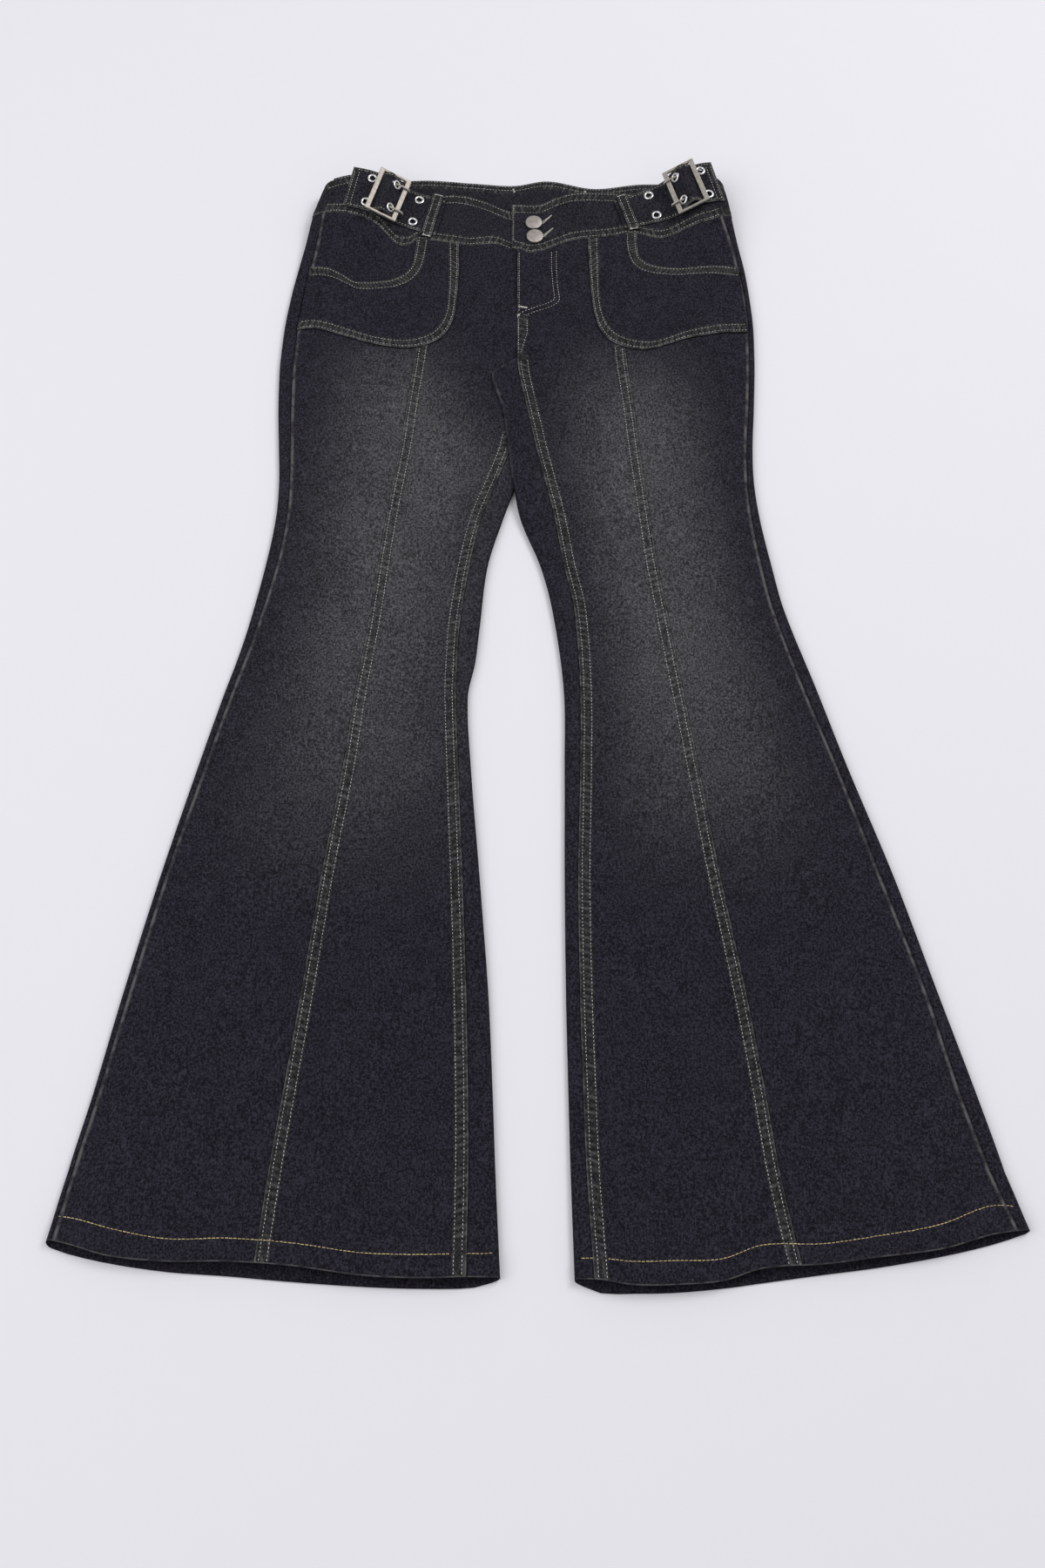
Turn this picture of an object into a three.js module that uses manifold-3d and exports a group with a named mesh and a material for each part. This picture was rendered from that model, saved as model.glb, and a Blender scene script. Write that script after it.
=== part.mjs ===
// Flared jeans, laid out flat on their back. Millimetres, +Z up.
// +Y runs from the hems to the waist, +X to the right as they are seen from above.
// The origin is under the middle of the outline, on the surface they lie on.
import * as THREE from 'three';
import { mergeVertices } from 'three/addons/utils/BufferGeometryUtils.js';
import Module from 'manifold-3d';

// Driving dimensions of the cloth
const CLOTH = 1.4; // wall of one layer of denim
const HALF = CLOTH / 2;
const SEAM_GAP = 0.3; // between two pieces that are sewn together
const LAYER_GAP = 0.3; // between a piece and the panel it lies on
const FELL_WIDTH = 10.6; // folded band of a flat-felled seam
const FELL_RISE = 0.7; // how far that band stands out
const FELL_STEP = 1; // width of the step down from it
const HEM_RISE = 0.6; // how far the turned hem stands out
const MIDDLE_Y = 514.3; // half way between the lowest hem and the top of the waist
const MIDDLE_X = 0.5; // middle between the two outer corners of the hems

// Heights of the rows, counted from the front hem
const HEM_ROW = -10;
const HEM_STITCH_ROW = 10;
const HEM_FOLD_ROW = 12; // just past the turned hem
const HEM_BLEND_ROW = 60; // above this the rows are level
const CROTCH_ROW = 829;
const WAIST_BLEND_ROW = 850; // above this the rows bend towards the waistband
const WAIST_ROW = 1000; // seam of the waistband
const ROWS = [
  HEM_ROW, HEM_STITCH_ROW, HEM_FOLD_ROW, HEM_BLEND_ROW, 120, 200, 300, 400, 468, 537, 600, 650, 670, 690,
  728, 765, 800, CROTCH_ROW, 836, 870, 900, 918, 932, 946, 960, 974, 987, WAIST_ROW,
];
const CROTCH_INDEX = ROWS.indexOf(CROTCH_ROW);

// Each leg in rows: how far out from the middle line its edges and seams lie.
// outer and inner are the folded edges, side, princess and front the seams on top.
const LEFT_LEG = {
  name: 'left',
  sign: -1,
  rows: [
    { height: -10, outer: 367, side: 363, princess: 210, front: 53, inner: 28 },
    { height: 60, outer: 356.5, side: 352.5, princess: 203.5, front: 52.5, inner: 32 },
    { height: 120, outer: 344, side: 340, princess: 196.5, front: 53.5, inner: 34.5 },
    { height: 200, outer: 329, side: 324.5, princess: 187, front: 56, inner: 38.5 },
    { height: 300, outer: 308.5, side: 304, princess: 176, front: 60.5, inner: 46.5 },
    { height: 400, outer: 285.5, side: 280, princess: 162.5, front: 65.5, inner: 55 },
    { height: 468, outer: 269, side: 263, princess: 155.5, front: 68.5, inner: 58.5 },
    { height: 502, outer: 260, side: 253.5, princess: 151, front: 68, inner: 52.5 },
    { height: 537, outer: 252, side: 244.5, princess: 146.5, front: 66.5, inner: 49 },
    { height: 600, outer: 241, side: 231, princess: 140, front: 58.5, inner: 42.5 },
    { height: 650, outer: 235, side: 225, princess: 134.5, front: 49.5, inner: 29 },
    { height: 690, outer: 234.5, side: 224.5, princess: 129, front: 38, inner: 16.5 },
    { height: 728, outer: 237, side: 226, princess: 124, front: 27, inner: 9 },
    { height: 770, outer: 240, side: 228, princess: 120, front: 20, inner: 5 },
    { height: 810, outer: 241.5, side: 229, princess: 115.5, front: 17, inner: 2 },
    { height: 829, outer: 241.5, side: 228.5, princess: 113.5, front: 16.5, inner: 0.5 },
    { height: 870, outer: 239.5, side: 226.5, princess: 110, front: 16.5, inner: 0.5 },
    { height: 910, outer: 235, side: 222.5, princess: 108, front: 16.5, inner: 0.5 },
    { height: 941, outer: 230, side: 218, princess: 106, front: 16.5, inner: 0.5 },
    { height: 970, outer: 224.5, side: 213, princess: 105, front: 16.5, inner: 0.5 },
    { height: 1000, outer: 219.5, side: 209, princess: 104, front: 16.5, inner: 0.5 },
    { height: 1025, outer: 214, side: 205, princess: 104, front: 16.5, inner: 0.5 },
    { height: 1050, outer: 207, side: 200, princess: 104, front: 16.5, inner: 0.5 },
  ],
  hem: [
    { out: 27, front: -18, back: -18 },
    { out: 46, front: -18, back: -24 },
    { out: 90, front: -19, back: -25 },
    { out: 132, front: -17, back: -23.5 },
    { out: 184, front: -10, back: -20 },
    { out: 231, front: -7, back: -16 },
    { out: 275, front: -7, back: -13 },
    { out: 318, front: -3, back: -7 },
    { out: 350, front: 6, back: 0 },
    { out: 368, front: 10, back: 6 },
  ],
  band: [
    { out: -30, seam: 957, top: 1004 },
    { out: 5, seam: 957.5, top: 1006 },
    { out: 20, seam: 961, top: 1010 },
    { out: 37, seam: 968, top: 1017 },
    { out: 63, seam: 966, top: 1028 },
    { out: 80, seam: 969, top: 1031 },
    { out: 98, seam: 972, top: 1029 },
    { out: 117, seam: 973, top: 1031 },
    { out: 129, seam: 964.5, top: 1033 },
    { out: 140, seam: 972, top: 1035.5 },
    { out: 154, seam: 985, top: 1038.5 },
    { out: 178, seam: 994.5, top: 1041 },
    { out: 196, seam: 997.5, top: 1039 },
    { out: 220, seam: 999.5, top: 1033 },
  ],
};
const RIGHT_LEG = {
  name: 'right',
  sign: 1,
  rows: [
    { height: -10, outer: 368, side: 359, princess: 195, front: 41.5, inner: 27 },
    { height: 60, outer: 354.5, side: 343, princess: 183, front: 37, inner: 25 },
    { height: 120, outer: 340, side: 327, princess: 176, front: 35.5, inner: 24 },
    { height: 200, outer: 319, side: 309.5, princess: 165.5, front: 34, inner: 23 },
    { height: 300, outer: 293, side: 282, princess: 150, front: 34, inner: 23 },
    { height: 400, outer: 263, side: 254, princess: 136.5, front: 37, inner: 24 },
    { height: 475, outer: 242, side: 231, princess: 126, front: 38, inner: 24 },
    { height: 553, outer: 219.5, side: 210, princess: 115, front: 34, inner: 15 },
    { height: 600, outer: 211, side: 202, princess: 108.5, front: 25, inner: 4.5 },
    { height: 650, outer: 203.5, side: 196, princess: 103.5, front: 17, inner: -13.5 },
    { height: 690, outer: 200.5, side: 194.5, princess: 99.5, front: 8.5, inner: -20.5 },
    { height: 728, outer: 201.5, side: 196, princess: 96, front: 0.5, inner: -25 },
    { height: 770, outer: 205, side: 200, princess: 92.5, front: -7.5, inner: -30.5 },
    { height: 810, outer: 208, side: 203, princess: 88.5, front: -15, inner: -40 },
    { height: 829, outer: 209, side: 204, princess: 87, front: -16.5, inner: -40 },
    { height: 870, outer: 210, side: 205, princess: 85, front: -16.5, inner: -40 },
    { height: 910, outer: 208, side: 203, princess: 84, front: -16.5, inner: -40 },
    { height: 941, outer: 205, side: 199, princess: 83.5, front: -16.5, inner: -40 },
    { height: 970, outer: 200, side: 195, princess: 83, front: -16.5, inner: -40 },
    { height: 1000, outer: 195.5, side: 190, princess: 83, front: -16.5, inner: -40 },
    { height: 1025, outer: 192.5, side: 187, princess: 83, front: -16.5, inner: -40 },
    { height: 1050, outer: 187.5, side: 182, princess: 83, front: -16.5, inner: -40 },
  ],
  hem: [
    { out: 26, front: -19, back: -20 },
    { out: 46, front: -20, back: -28 },
    { out: 70, front: -24, back: -28.5 },
    { out: 100, front: -24, back: -28 },
    { out: 136, front: -21, back: -25 },
    { out: 166, front: -12, back: -21 },
    { out: 212, front: -9, back: -15 },
    { out: 252, front: -4, back: -10 },
    { out: 300, front: 2, back: -2 },
    { out: 340, front: 13, back: 7 },
    { out: 369, front: 17, back: 16 },
  ],
  band: [
    { out: -24, seam: 963.5, top: 1018.5 },
    { out: -14, seam: 961, top: 1018.5 },
    { out: -5, seam: 957.5, top: 1018 },
    { out: 7, seam: 959.5, top: 1019 },
    { out: 23, seam: 967, top: 1028 },
    { out: 40, seam: 974, top: 1034 },
    { out: 74, seam: 978, top: 1034 },
    { out: 96, seam: 982, top: 1032 },
    { out: 112, seam: 977.5, top: 1036 },
    { out: 126, seam: 975, top: 1040 },
    { out: 152, seam: 983.5, top: 1045.5 },
    { out: 173, seam: 988.5, top: 1044 },
    { out: 187, seam: 995, top: 1038 },
    { out: 196, seam: 998.5, top: 1035 },
  ],
};

// The back of the waistband, from left to right
const BACK_SEAM = 1000;
const BACK_BAND = [
  { across: -200, top: 1047 },
  { across: -115, top: 1057 },
  { across: -60, top: 1053 },
  { across: -20, top: 1050 },
  { across: 14, top: 1056 },
  { across: 60, top: 1046 },
  { across: 110, top: 1052 },
  { across: 176, top: 1049 },
];
const BACK_JOINT = { left: 196, right: 172 }; // where the front bands reach on the back

// Height of the middle of the top layer, in rows: at the folded edge and inside
const TOP_LAYER = [
  { height: -30, edge: 7, inside: 10.5 },
  { height: 20, edge: 6, inside: 9.5 },
  { height: 90, edge: 5, inside: 8.8 },
  { height: 300, edge: 5, inside: 8.2 },
  { height: 500, edge: 5, inside: 8.4 },
  { height: 640, edge: 5, inside: 8.8 },
  { height: 829, edge: 5, inside: 8.3 },
  { height: 900, edge: 5.2, inside: 8 },
  { height: 1060, edge: 5.2, inside: 7.6 },
];
const EDGE_ROLL = 40; // how far the top layer takes to rise from the fold
// At the waist the sides stand up under the straps, by distance from the folded edge
const WAIST_SIDE = {
  left: [
    { inward: 0, height: 17 },
    { inward: 12, height: 19.5 },
    { inward: 28, height: 22 },
    { inward: 48, height: 22.5 },
    { inward: 62, height: 20.5 },
    { inward: 76, height: 15.5 },
    { inward: 90, height: 11.3 },
    { inward: 104, height: 8.9 },
    { inward: 120, height: 8 },
    { inward: 140, height: 7.6 },
  ],
  right: [
    { inward: 0, height: 18 },
    { inward: 10, height: 21 },
    { inward: 22, height: 23 },
    { inward: 34, height: 22 },
    { inward: 46, height: 17.5 },
    { inward: 60, height: 12.5 },
    { inward: 74, height: 9.6 },
    { inward: 90, height: 8.2 },
    { inward: 112, height: 7.6 },
  ],
};
const WAIST_LIFT_FROM = 915;
const WAIST_LIFT_TO = 1010;
const WAIST_TILT = 0.1; // the raised sides lean towards the hems by this slope
const WAIST_TILT_FULL = 40; // this far in from the fold, and fading out over the next stretch
const WAIST_TILT_FADE = 60;

// The back panel of the right leg comes over the left leg below the crotch
const FLAP = {
  from: 650, // height where it starts to lie on the left leg
  full: 690, // height from which it lies there fully
  stack: 1.8, // from the middle of one layer to the middle of the next
  topCorner: -14, // its top edge slants down from here
  topSlope: 0.8,
  slantFrom: 770,
  dropGap: 2.5, // clear of the left leg's fold where it goes down to the back
  dropRound: 1.5,
  blendOut: 12, // the panel above it comes down to its own height over these distances
  blendUp: 20,
};

const FLAP_RUN = FLAP.full - FLAP.from;

// Patch pockets: the edge that is sewn down and the scooped opening
const POCKETS = {
  left: {
    sewn: [
      { out: 74, height: 966 }, { out: 73.5, height: 934 }, { out: 75, height: 900 },
      { out: 78.5, height: 872 }, { out: 88, height: 853 }, { out: 103, height: 843 },
      { out: 122, height: 839.5 }, { out: 145, height: 842 }, { out: 169, height: 849 },
      { out: 194, height: 858 }, { out: 212, height: 863 }, { out: 227, height: 862 },
    ],
    scoop: [
      { out: 115, height: 974 }, { out: 117, height: 952 }, { out: 120, height: 938 },
      { out: 128, height: 927 }, { out: 140, height: 921 }, { out: 152, height: 919 },
      { out: 164, height: 918.5 }, { out: 175, height: 920 }, { out: 186, height: 928 },
      { out: 197, height: 935 }, { out: 208, height: 938 }, { out: 219, height: 938 },
    ],
  },
  right: {
    sewn: [
      { out: 52.5, height: 976 }, { out: 53.5, height: 945 }, { out: 55, height: 908 },
      { out: 58, height: 878 }, { out: 64.5, height: 858 }, { out: 75, height: 846 },
      { out: 89, height: 839.5 }, { out: 106, height: 837 }, { out: 122, height: 841 },
      { out: 146, height: 850 }, { out: 176, height: 856 }, { out: 204, height: 860 },
    ],
    scoop: [
      { out: 101, height: 981 }, { out: 101, height: 964 }, { out: 103, height: 951 },
      { out: 109, height: 943 }, { out: 119, height: 938.5 }, { out: 131, height: 936.5 },
      { out: 143, height: 936 }, { out: 155, height: 937 }, { out: 166, height: 938 },
      { out: 177, height: 938.5 }, { out: 188, height: 938.5 }, { out: 199, height: 938 },
    ],
  },
};
const POCKET_STEPS = 22;
const POCKET_GAP = 0.45; // under the patch, which spans the curves of the panel
const POCKET_CLOTH = 1.2;
const POCKET_BAND = 11; // stitched band along both edges
const POCKET_RISE = 0.5; // how far that band stands out
const POCKET_STEP = 0.03; // width of the step down from it, as part of the patch's width
const BELOW_BAND = 0.9; // from the waistband's seam to what lies on the panels

// The J-shaped fly lap, from its top down: where its sewn edge lies
const FLY_CLOTH = 1;
const FLY_EDGE = -16.3; // its free edge, left of the middle
const FLY_FIRST_STEP = 4; // at least this far from its top to the next row
const FLY_ROWS = [
  { height: 956.5, edge: 23.5 },
  { height: 940, edge: 23.5 },
  { height: 925, edge: 24 },
  { height: 910, edge: 25 },
  { height: 899, edge: 26 },
  { height: 892, edge: 23 },
  { height: 886, edge: 14 },
  { height: 881, edge: 2 },
  { height: 876, edge: -9 },
  { height: 873, edge: -13.5 },
];

// Side straps, buckles and what is on them. along runs from the inner end outwards.
// lean: how many degrees their width slants from the line of the back
// inner: width at the inner end as part of the full width, which it has from the prong eyelets on
const STRAP_ANGLE = THREE.MathUtils.degToRad(16);
const STRAP_WIDTH = 46;
const STRAP_CLOTH = 1.5;
const STRAP_GAP = 0.4; // over the band below it
const STRAP_EDGE = 1; // the buckle is fitted to the strap this far inside its edges
const STRAP_CELLS = { along: 22, across: 3 };
const STRAPS = {
  left: { out: 92, height: 1000, length: 95, bar: 40, eyelets: [26, 48.7, 73.5], lean: 12, inner: 1 },
  right: { out: 84, height: 1004.5, length: 101.5, bar: 54, eyelets: [35, 62, 87.5], lean: 15.5, inner: 0.8 },
};
// How far the strap stands off the waistband, by distance from the inner bar
const STRAP_LIFT = [
  { past: -60, lift: 0.2 },
  { past: -20, lift: 0.3 },
  { past: 0, lift: 0.8 },
  { past: 6, lift: 3.6 },
  { past: 14, lift: 8.6 },
  { past: 21, lift: 4.6 },
  { past: 28, lift: 1.6 },
  { past: 38, lift: 0.8 },
  { past: 60, lift: 0.3 },
];
const BUCKLE = { length: 52, spacing: 28, barWidth: 4.8, rail: 2.5, thick: 2.4, clear: 1.5, bevel: 0.4 };
const EYELET = {
  across: 14.2, outer: 4.9, hole: 2.6, barrel: 3.2, cut: 3.6, flange: 0.6, seat: 0.4, round: 0.6, lip: 0.3,
  sides: 12,
};
const CUTTER = { length: 8, sides: 16 };
// rise: how far the wire arches over the bar, gap: how far it stays beside it,
// through: how far it goes above and below the strap
const PRONG = {
  radius: 1, arcs: 4, steps: 12, start: 0.6, rise: 0.65, through: 1.6, lean: 0.6, gap: 0.9,
};
const LOOP = {
  along: 9, width: 10, cloth: 1.6, reach: 28, shoulder: 24, foot: 26.4, flat: 13, clear: 0.4, cells: 3,
};
const BUTTON = { radius: 8.2, neck: 3, neckHeight: 0.9, thick: 1.9, dome: 0.7, bevel: 0.5, sides: 16 };
const BUTTONS = [
  { name: 'button_upper', across: -0.3, height: 993.6 },
  { name: 'button_lower', across: 0.7, height: 976.2 },
];

// Colours
const DENIM_DARK = { color: '#25242c', roughness: 0.95, metalness: 0 };
const DENIM_FADED = { color: '#38373d', roughness: 0.95, metalness: 0 };
const DENIM_BAND = { color: '#2a2931', roughness: 0.95, metalness: 0 };
const NICKEL = { color: '#cdc6bd', roughness: 0.25, metalness: 1 };
const BRIGHT_NICKEL = { color: '#d6d6d6', roughness: 0.2, metalness: 1 };
const MATTE_NICKEL = { color: '#bdb9b4', roughness: 0.4, metalness: 1 };

const garment = new THREE.Group();
garment.position.set(-MIDDLE_X, -MIDDLE_Y, 0);

// Numbers along a table: a smooth curve through one named column
function curve(rows, key, column) {
  const at = rows.map((row) => row[key]);
  const value = rows.map((row) => row[column]);
  const last = at.length - 1;
  const slope = at.map((_, i) => {
    const before = Math.max(i - 1, 0);
    const after = Math.min(i + 1, last);
    return (value[after] - value[before]) / (at[after] - at[before]);
  });
  return (where) => {
    const inside = THREE.MathUtils.clamp(where, at[0], at[last]);
    let i = 0;
    while (i < last - 1 && inside > at[i + 1]) i += 1;
    const span = at[i + 1] - at[i];
    const rise = value[i + 1] - value[i];
    const f = (inside - at[i]) / span;
    const bend = (1 - f) * (slope[i] * span - rise) + f * (rise - slope[i + 1] * span);
    return value[i] + f * rise + f * (1 - f) * bend;
  };
}

function mix(a, b, f) {
  return a + (b - a) * f;
}

function ease(f) {
  return THREE.MathUtils.smoothstep(f, 0, 1);
}

function spread(from, to, cells) {
  return Array.from({ length: cells + 1 }, (_, i) => mix(from, to, i / cells));
}

function prepareLeg(leg) {
  for (const column of ['outer', 'side', 'princess', 'front', 'inner']) {
    leg[column] = curve(leg.rows, 'height', column);
  }
  leg.hemFront = curve(leg.hem, 'out', 'front');
  leg.hemBack = curve(leg.hem, 'out', 'back');
  leg.bandSeam = curve(leg.band, 'out', 'seam');
  leg.bandTop = curve(leg.band, 'out', 'top');
  leg.waistSide = curve(WAIST_SIDE[leg.name], 'inward', 'height');
}
prepareLeg(LEFT_LEG);
prepareLeg(RIGHT_LEG);
const edgeHeight = curve(TOP_LAYER, 'height', 'edge');
const insideHeight = curve(TOP_LAYER, 'height', 'inside');
const backBandTop = curve(BACK_BAND, 'across', 'top');
const strapLift = curve(STRAP_LIFT, 'past', 'lift');

// Height of the middle of the top layer of a leg, before the flap is looked at
function plainTop(leg, out, height) {
  const edge = edgeHeight(height);
  const inside = insideHeight(height);
  const fromOuter = Math.max(leg.outer(height) - out, 0);
  let fromInner = Math.max(out - leg.inner(height), 0);
  if (height > CROTCH_ROW) fromInner = Math.hypot(fromInner, height - CROTCH_ROW);
  let innerRoll = 1 - ease(fromInner / EDGE_ROLL);
  if (leg === RIGHT_LEG) innerRoll *= 1 - ease((height - FLAP.from + FLAP.blendUp) / FLAP_RUN);
  const rolls = 1 - ease(fromOuter / EDGE_ROLL) + innerRoll;
  const legTop = inside - (inside - edge) * Math.min(rolls, 1);
  const waist = ease((height - WAIST_LIFT_FROM) / (WAIST_LIFT_TO - WAIST_LIFT_FROM));
  const raised = leg.waistSide(fromOuter);
  const atSide = 1 - ease((fromOuter - WAIST_TILT_FULL) / WAIST_TILT_FADE);
  const tilt = WAIST_TILT * (height - WAIST_LIFT_TO) * atSide;
  return mix(legTop, raised + tilt, waist);
}

// Height of the middle of the layer that the flap lies on
function underFlap(out, height) {
  const leftOut = Math.max(-out, LEFT_LEG.inner(height));
  return plainTop(LEFT_LEG, leftOut, height);
}

function top(leg, out, height) {
  const plain = plainTop(leg, out, height);
  if (leg === LEFT_LEG || height < FLAP.from || height > CROTCH_ROW + FLAP.blendUp) return plain;
  const near = 1 - ease((out + LEFT_LEG.inner(height)) / FLAP.blendOut);
  const rowPart = ease((height - FLAP.from) / FLAP_RUN) * (1 - ease((height - CROTCH_ROW) / FLAP.blendUp));
  const over = underFlap(out, height) + 2 * FLAP.stack;
  return plain + Math.max(over - plain, 0) * near * rowPart;
}

// Real height of a row at one place: it bends to the hem below and the waistband above.
// face is 1 on the front and 0 on the back.
function rowHeight(leg, row, out, face) {
  if (row < HEM_BLEND_ROW) {
    const hem = mix(leg.hemBack(out), leg.hemFront(out), face);
    return mix(hem, HEM_BLEND_ROW, (row - HEM_ROW) / (HEM_BLEND_ROW - HEM_ROW));
  }
  if (row > WAIST_BLEND_ROW) {
    const seam = mix(BACK_SEAM, leg.bandSeam(out), face) - SEAM_GAP / 2;
    return mix(WAIST_BLEND_ROW, seam, (row - WAIST_BLEND_ROW) / (WAIST_ROW - WAIST_BLEND_ROW));
  }
  return row;
}

// Where the side seam lies: on top, at least this far inside the fold
const SEAM_INSIDE = 1;

function foldRadius(leg, height) {
  return (plainTop(leg, leg.outer(height), height) - HALF) / 2;
}

function sideSeam(leg, height) {
  const foldStart = leg.outer(height) - HALF - foldRadius(leg, height);
  return Math.min(leg.side(height), foldStart - SEAM_INSIDE);
}

// A closed wall of cloth round a grid of middle points.
// grid[i][j] is { x, y, z, rise } and cells with keep(i, j) false are left out.
function sheet(grid, { wall = CLOTH, flip = false, keep = () => true } = {}) {
  const rows = grid.length;
  const columns = grid[0].length;
  const kept = (i, j) => i >= 0 && j >= 0 && i < rows - 1 && j < columns - 1 && keep(i, j);
  const id = (i, j) => i * columns + j;
  const points = grid.flat().map((p) => new THREE.Vector3(p.x, p.y, p.z));
  const normals = points.map(() => new THREE.Vector3());
  const cells = [];
  for (let i = 0; i < rows - 1; i += 1) {
    for (let j = 0; j < columns - 1; j += 1) {
      if (!kept(i, j)) continue;
      cells.push([i, j]);
      const corners = [id(i, j), id(i, j + 1), id(i + 1, j + 1), id(i + 1, j)];
      const across = points[corners[2]].clone().sub(points[corners[0]]);
      const other = points[corners[3]].clone().sub(points[corners[1]]);
      const normal = across.cross(other).normalize();
      if (flip) normal.negate();
      for (const corner of corners) normals[corner].add(normal);
    }
  }
  const position = [];
  grid.flat().forEach((p, k) => {
    const n = normals[k].normalize();
    const outside = points[k].clone().addScaledVector(n, wall / 2 + (p.rise || 0));
    const inside = points[k].clone().addScaledVector(n, -wall / 2);
    position.push(...outside.toArray(), ...inside.toArray());
  });
  const index = [];
  const face = (a, b, c) => index.push(...(flip ? [a, c, b] : [a, b, c]));
  const outer = (k) => 2 * k;
  const inner = (k) => 2 * k + 1;
  const quad = (a, b, c, d) => {
    face(a, b, c);
    face(a, c, d);
  };
  const edge = (a, b) => quad(outer(b), outer(a), inner(a), inner(b));
  for (const [i, j] of cells) {
    const [a, b, c, d] = [id(i, j), id(i, j + 1), id(i + 1, j + 1), id(i + 1, j)];
    quad(outer(a), outer(b), outer(c), outer(d));
    quad(inner(d), inner(c), inner(b), inner(a));
    if (!kept(i - 1, j)) edge(a, b);
    if (!kept(i, j + 1)) edge(b, c);
    if (!kept(i + 1, j)) edge(c, d);
    if (!kept(i, j - 1)) edge(d, a);
  }
  const geometry = new THREE.BufferGeometry();
  geometry.setAttribute('position', new THREE.Float32BufferAttribute(position, 3));
  geometry.setIndex(index);
  return compact(geometry);
}

// Drops the points that no face uses
function compact(geometry) {
  const position = geometry.getAttribute('position');
  const renumbered = new Map();
  const points = [];
  const index = [];
  for (const old of geometry.getIndex().array) {
    if (!renumbered.has(old)) {
      renumbered.set(old, points.length / 3);
      points.push(position.getX(old), position.getY(old), position.getZ(old));
    }
    index.push(renumbered.get(old));
  }
  const used = new THREE.BufferGeometry();
  used.setAttribute('position', new THREE.Float32BufferAttribute(points, 3));
  used.setIndex(index);
  return used;
}

function addPiece(name, geometry, look) {
  const flat = geometry.index ? geometry.toNonIndexed() : geometry;
  flat.computeVertexNormals();
  const mesh = new THREE.Mesh(flat, new THREE.MeshStandardMaterial(look));
  mesh.name = name;
  garment.add(mesh);
}

// A row of a back panel, round the leg from the inseam to the side seam
const STRIP_CELLS = 2;
const FOLD_CELLS = 4;
const DROP_CELLS = 6;
const BOTTOM_CELLS = 7;
const FOOT = 3; // flat stretch of the back next to the inner fold
const BOTTOM_START = STRIP_CELLS + FOLD_CELLS + DROP_CELLS;

function foldArc(centreOut, centreZ, radius, from, to) {
  return spread(from, to, FOLD_CELLS).map((angle) => ({
    out: centreOut + radius * Math.cos(angle),
    z: centreZ + radius * Math.sin(angle),
    face: (1 + Math.sin(angle)) / 2,
  }));
}

function innerTurn(leg, height) {
  const radius = (plainTop(leg, leg.inner(height), height) - HALF) / 2;
  const centre = leg.inner(height) + HALF + radius;
  const arc = foldArc(centre, HALF + radius, radius, Math.PI / 2, (3 * Math.PI) / 2);
  const foot = spread(centre, centre + FOOT, DROP_CELLS).slice(1).map((out) => ({ out, z: HALF, face: 0 }));
  return [...arc, ...foot];
}

function flapTurn(height) {
  const edge = RIGHT_LEG.inner(height);
  const under = underFlap(edge, height) + FLAP.stack;
  const radius = FLAP.stack / 2;
  const centre = edge + HALF + radius;
  const arc = foldArc(centre, under + radius, radius, Math.PI / 2, (3 * Math.PI) / 2);
  for (const point of arc) point.face = 1;
  const drop = -LEFT_LEG.inner(height) + FLAP.dropGap;
  const end = underFlap(drop, height) + FLAP.stack;
  const inward = spread(centre, drop - FLAP.dropRound, DROP_CELLS / 2).slice(1, -1);
  const down = [
    ...inward.map((out) => ({ out, z: underFlap(out, height) + FLAP.stack, face: 1 })),
    { out: drop - FLAP.dropRound, z: end, face: 1 },
    { out: drop, z: end - FLAP.dropRound, face: 0.6 },
    { out: drop, z: HALF + FLAP.dropRound, face: 0.3 },
    { out: drop + FLAP.dropRound, z: HALF, face: 0 },
  ];
  return [...arc, ...down];
}

function inseamTurn(leg, height) {
  const plain = innerTurn(leg, height);
  if (leg === LEFT_LEG || height <= FLAP.from) return plain;
  const part = ease((height - FLAP.from) / FLAP_RUN);
  return flapTurn(height).map((point, i) => ({
    out: mix(plain[i].out, point.out, part),
    z: mix(plain[i].z, point.z, part),
    face: mix(plain[i].face, point.face, part),
  }));
}

function backRow(leg, row) {
  const height = Math.min(row, WAIST_ROW);
  const radius = foldRadius(leg, height);
  const outerCentre = leg.outer(height) - HALF - radius;
  const outerArc = foldArc(outerCentre, HALF + radius, radius, -Math.PI / 2, Math.PI / 2);
  const seam = sideSeam(leg, height) + SEAM_GAP / 2;
  const side = spread(outerCentre, seam, STRIP_CELLS).slice(1);
  const turn = inseamTurn(leg, Math.min(height, CROTCH_ROW));
  const inseam = leg.front(height) - SEAM_GAP / 2;
  const strip = spread(inseam, turn[0].out, STRIP_CELLS).slice(0, -1);
  const bottomFrom = row > CROTCH_ROW ? SEAM_GAP / 2 : turn.at(-1).out;
  const bottom = spread(bottomFrom, outerCentre, BOTTOM_CELLS).slice(1, -1);
  turn.at(-1).out = bottomFrom;
  const onTop = (out) => ({ out, z: null, face: 1 });
  return [
    ...strip.map(onTop),
    ...turn,
    ...bottom.map((out) => ({ out, z: HALF, face: 0 })),
    ...outerArc,
    ...side.map(onTop),
  ];
}

// The top edge of the flap slants down towards its outer corner
function flapSlant(leg, row, point) {
  if (leg === LEFT_LEG || row <= FLAP.slantFrom || row > CROTCH_ROW || point.face < 0.5) return 0;
  const beyond = Math.min(point.out - FLAP.topCorner, 0);
  return (beyond * FLAP.topSlope * (row - FLAP.slantFrom)) / (CROTCH_ROW - FLAP.slantFrom);
}

function placed(leg, row, point) {
  const height = rowHeight(leg, row, point.out, point.face) + flapSlant(leg, row, point);
  const z = point.z ?? top(leg, point.out, height);
  const hemmed = row <= HEM_STITCH_ROW && point.face > 0.9;
  return { x: leg.sign * point.out, y: height, z, rise: hemmed ? HEM_RISE : point.rise || 0 };
}

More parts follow.
